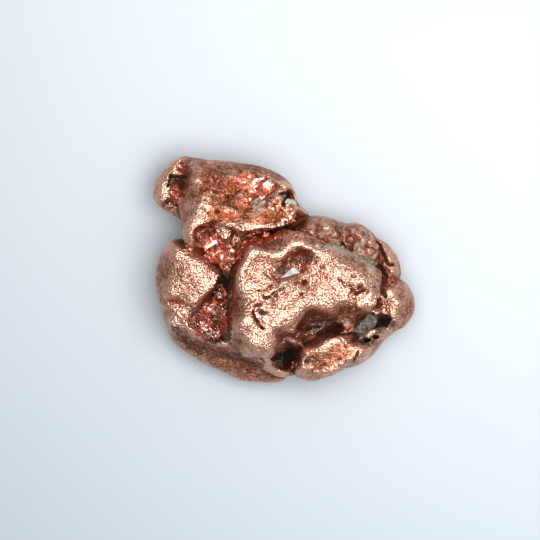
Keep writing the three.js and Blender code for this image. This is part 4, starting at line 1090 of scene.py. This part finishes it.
# The rock in the pocket stops at a level between two corners; the chips lie a little
# above the copper under them, each with its thickness and its tilt.
pocket_fill = packed_net(POCKET_FILL, 6.9, (7, -9, 3), (12, -4, 9), 20)
crater_chip = chip_net(CRATER_CHIP, ground(1.1, -0.25) + 0.5, 0.34, 30, (-0.4, 0.1))
shoulder_chip = chip_net(SHOULDER_CHIP, ground(0.9, 7.5) + 0.15, 0.35, 40, (-0.2, -0.2))
crumbs = {
    "pocket_rock": (pocket_fill, matrix_rock, "rock"),
    "crater_rock": (crater_chip, pale_rock, "pale_rock"),
    "shoulder_rock": (shoulder_chip, pale_rock, "pale_rock"),
}
for node, (mesh_net, finish, slot) in crumbs.items():
    crumb = piece_from(node.replace("_rock", "_crumb"), *mesh_net)
    crumb.data.materials.append(finish)
    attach(crumb, "root")
    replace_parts(crumb, node)

# ---------------------------------------------------------------------- cuprite
# Crusts of cuprite, the glassy red oxide of copper, in the sheltered places: a smooth
# body under each crust, and small octahedra grown over it and over the copper round it.

CRYSTALS = 1800
CRYSTAL = 0.075  # mm from the middle of a usual crystal to its tip
rng = np.random.default_rng(7)
tints = rng.random(CRYSTALS)
sizes = CRYSTAL * np.exp(0.5 * rng.standard_normal(CRYSTALS))


def random_turns(count):
    """Random rotations, as matrices."""
    q = rng.standard_normal((count, 4))
    w, x, y, z = (q / np.linalg.norm(q, axis=1, keepdims=True)).T
    rows = [
        [1 - 2 * (y * y + z * z), 2 * (x * y - z * w), 2 * (x * z + y * w)],
        [2 * (x * y + z * w), 1 - 2 * (x * x + z * z), 2 * (y * z - x * w)],
        [2 * (x * z - y * w), 2 * (y * z + x * w), 1 - 2 * (x * x + y * y)],
    ]
    return np.array(rows).transpose(2, 0, 1)


turns = random_turns(CRYSTALS)
TIPS = np.array([(1, 0, 0), (0, 1, 0), (-1, 0, 0), (0, -1, 0), (0, 0, 1), (0, 0, -1)], np.float32)
SIDES = np.array([(n, (n + 1) % 4, 4) for n in range(4)] + [((n + 1) % 4, n, 5) for n in range(4)])


def layer_net(low, high, thickness, seed):
    """The net of a lumpy layer over the copper, wherever it is stained between two corners."""
    BURIED, ROOT = 0.5, 0.4  # mm under the skin, off the stain and below the layer
    HEADROOM = 0.8  # mm from the top corner down to where the layer ends
    part, part_axes = part_between(low, high)
    stained = eased((red_above[part] - 0.3) / 0.5)
    uneven = 0.35 * lumps(seed, 0.7, part_axes) + 0.25 * lumps(seed + 1, 0.35, part_axes)
    over = -BURIED + stained * (BURIED + thickness * (0.7 + uneven))
    layer = np.maximum(field[part] - over, -field[part] - ROOT)
    layer = np.maximum(layer, part_axes[2] - high[2] + HEADROOM + 0.4 * uneven)
    return closed_net(layer, part_axes)


def crystal_net(seats, numbers):
    """The corners and faces of octahedra that sit at the seats."""
    corners = seats[:, None] + sizes[numbers][:, None, None] * (TIPS @ turns[numbers])
    faces = SIDES[None] + 6 * np.arange(len(seats))[:, None, None]
    return corners.reshape(-1, 3), faces.reshape(-1, 3)


def crust(name, seats, numbers, tint, body=None):
    """One mesh of octahedra at the seats and of the smooth body that they grew over."""
    vertices, faces = crystal_net(seats, numbers)
    shades = np.repeat(tint + 0.5 * (tints[numbers] - 0.5), 6)
    flat = len(faces)
    if body:
        body_vertices, quads = body
        quads = quads + len(vertices)
        faces = np.concatenate([faces, quads[:, (0, 1, 2)], quads[:, (0, 2, 3)]])
        vertices = np.concatenate([vertices, body_vertices])
        shades = np.concatenate([shades, np.full(len(body_vertices), tint)])
    piece = piece_from(name, vertices, faces, smooth=False)
    rounded = np.arange(len(piece.data.polygons)) >= flat
    piece.data.polygons.foreach_set("use_smooth", rounded)
    paint(piece, "tint", shades)
    piece.data.materials.append(cuprite_glassy)
    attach(piece, "root")
    return piece


# Cuprite, deep red glass broken up by veins, with crumbs of bright native copper in it.
cuprite_glassy, tree, out = new_material("cuprite_glassy_crystals")
where = add(tree, "TexCoord")["Object"]
tint = add(tree, "Attribute", attribute_name="tint")["Fac"]
veins = noise(tree, where, 0.8, 3)
veins = remapped(tree, veins, 0.4, 0.62, 0.0, 0.85)
ripple = noise(tree, where, 0.2, 2)
share = add(tree, "Math", {0: tint, 1: veins}, operation="ADD")[0]
share = remapped(tree, share, 0.2, 1.1)
ramp = tree.nodes.new("ShaderNodeValToRGB")
tree.links.new(share, ramp.inputs["Fac"])
stops = ramp.color_ramp.elements
for position, shade in ((0.0, "#430805"), (0.4, "#8f1b0b"), (0.8, "#cb3a14"), (1.0, "#ea6a34")):
    stop = stops[0] if position == 0 else stops[1] if position == 1 else stops.new(position)
    stop.position, stop.color = position, linear(shade)
crumbled = noise(tree, where, 0.26, 1)
crumbled = remapped(tree, crumbled, 0.55, 0.59)
colour = mixed(tree, crumbled, ramp.outputs["Color"], PALE_COPPER)
roughness = remapped(tree, ripple, 0, 1, 0.1, 0.4)
bump = add(tree, "Bump", {"Height": ripple, "Distance": 0.1 * MM, "Strength": 1.0})["Normal"]
look = {"Base Color": colour, "Metallic": crumbled, "Roughness": roughness, "Normal": bump, "IOR": 1.6}
lay_surface(tree, out, look)

# Each crust: its corners and thickness in mm, its tint and how many crystals it carries.
CRUSTS = {
    "neck": ((-9.2, -0.2, 5), (-5.0, 4.7, 8.5), 0.35, 0.4, 180),
    "lip": ((-5.2, 0.6, 5), (0.8, 4.8, 9), 0.3, 0.2, 120),
    "cleft": ((-9.9, -7.9, 4.5), (-5.5, -1.4, 8.6), 0.4, -0.15, 160),
    "dish": ((-5.4, 7.3, 5), (-0.4, 11.2, 10), 0.25, 0.55, 170),
}
used = 0
for place, (low, high, thickness, tint, count) in CRUSTS.items():
    body = layer_net(low, high, thickness, 50 + 10 * len(place))
    proud = np.flatnonzero(sampled(field, body[0]) > 0.05)
    seats = body[0][rng.choice(proud, count, replace=False)]
    numbers = np.arange(used, used + count)
    used += count
    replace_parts(crust(place + "_crust", seats, numbers, tint, body), place + "_cuprite")

# The rest of the crystals are specks on the stained copper round the crusts.
SPECK_TINT = 0.15
in_crusts = np.zeros(len(places), bool)
for low, high, *_ in CRUSTS.values():
    in_crusts |= np.all((places[:, :2] > low[:2]) & (places[:, :2] < high[:2]), axis=1)
weight = coverage(RED_POOLS, RED_SPOTS, *plan) ** 2
weight *= upper * ~in_crusts
numbers = np.arange(used, CRYSTALS)
chosen = rng.choice(len(places), len(numbers), replace=False, p=weight / weight.sum())
sunk = 0.4 * sizes[numbers][:, None] * normals[chosen]
crust("cuprite_specks", places[chosen] - sunk, numbers, SPECK_TINT)

# ---------------------------------------------------------------------- studio
# A matt card under the nugget, painted darker towards its front left as shade where the
# lamps' light falls off, two soft lamps and a camera straight above.
CARD = 900  # mm from the middle of the card to each side
card_corners = [(-CARD, -CARD, 0), (CARD, -CARD, 0), (CARD, CARD, 0), (-CARD, CARD, 0)]
floor = piece_from("floor", card_corners, [(0, 1, 2, 3)])
card_with_painted_falloff, tree, out = new_material("background_card_painted_falloff")
where = add(tree, "TexCoord")["Object"]
# Painted shade: the card's colour runs from pale at the back right to greyer at the front left, standing in
# for the fall of the light.
painted_falloff_slant = add(tree, "VectorMath", {0: where, 1: (3.2, 6.5, 0)}, operation="DOT_PRODUCT")["Value"]
shade = remapped(tree, painted_falloff_slant, -0.3, 0.2)
card = mixed(tree, shade, linear("#a8afb5"), linear("#c9cdd0"))
lay_surface(tree, out, {"Base Color": card, "Roughness": 0.9})
floor.data.materials.append(card_with_painted_falloff)

# A bright softbox overhead, a little to the right, under a wide dim tent. Each has its
# side in m, its radiance in W per m2 and steradian, and its place in m.
for name, size, radiance, place in (
    ("softbox", 0.1, 7.0, (0.026, 0.0, 0.13)),
    ("tent", 0.6, 0.62, (0.03, -0.01, 0.22)),
):
    lamp = bpy.data.lights.new(name, "AREA")
    lamp.shape = "SQUARE"
    lamp.size = size
    lamp.color = (0.94, 0.97, 1.0)
    lamp.energy = radiance * math.pi * size**2
    light = bpy.data.objects.new(name, lamp)
    light.location = place
    light.visible_camera = False
    bpy.context.scene.collection.objects.link(light)

world = bpy.data.worlds.new("studio")
world.use_nodes = True
world.node_tree.nodes["Background"].inputs["Color"].default_value = (1, 1, 1, 1)
world.node_tree.nodes["Background"].inputs["Strength"].default_value = 0.3
bpy.context.scene.world = world

camera_data = bpy.data.cameras.new("camera")
camera = bpy.data.objects.new("camera", camera_data)
CAMERA_HEIGHT = 0.6  # m
FRAME_WIDTH = 0.0594  # m seen across the frame, at the nugget's girth
SENSOR = 36  # mm
camera.location = (-0.00132, 0, CAMERA_HEIGHT)
camera_data.sensor_width = SENSOR
camera_data.lens = SENSOR * (CAMERA_HEIGHT - GIRTH * MM) / FRAME_WIDTH
bpy.context.scene.collection.objects.link(camera)
bpy.context.scene.camera = camera
bpy.context.scene.view_settings.view_transform = "Standard"
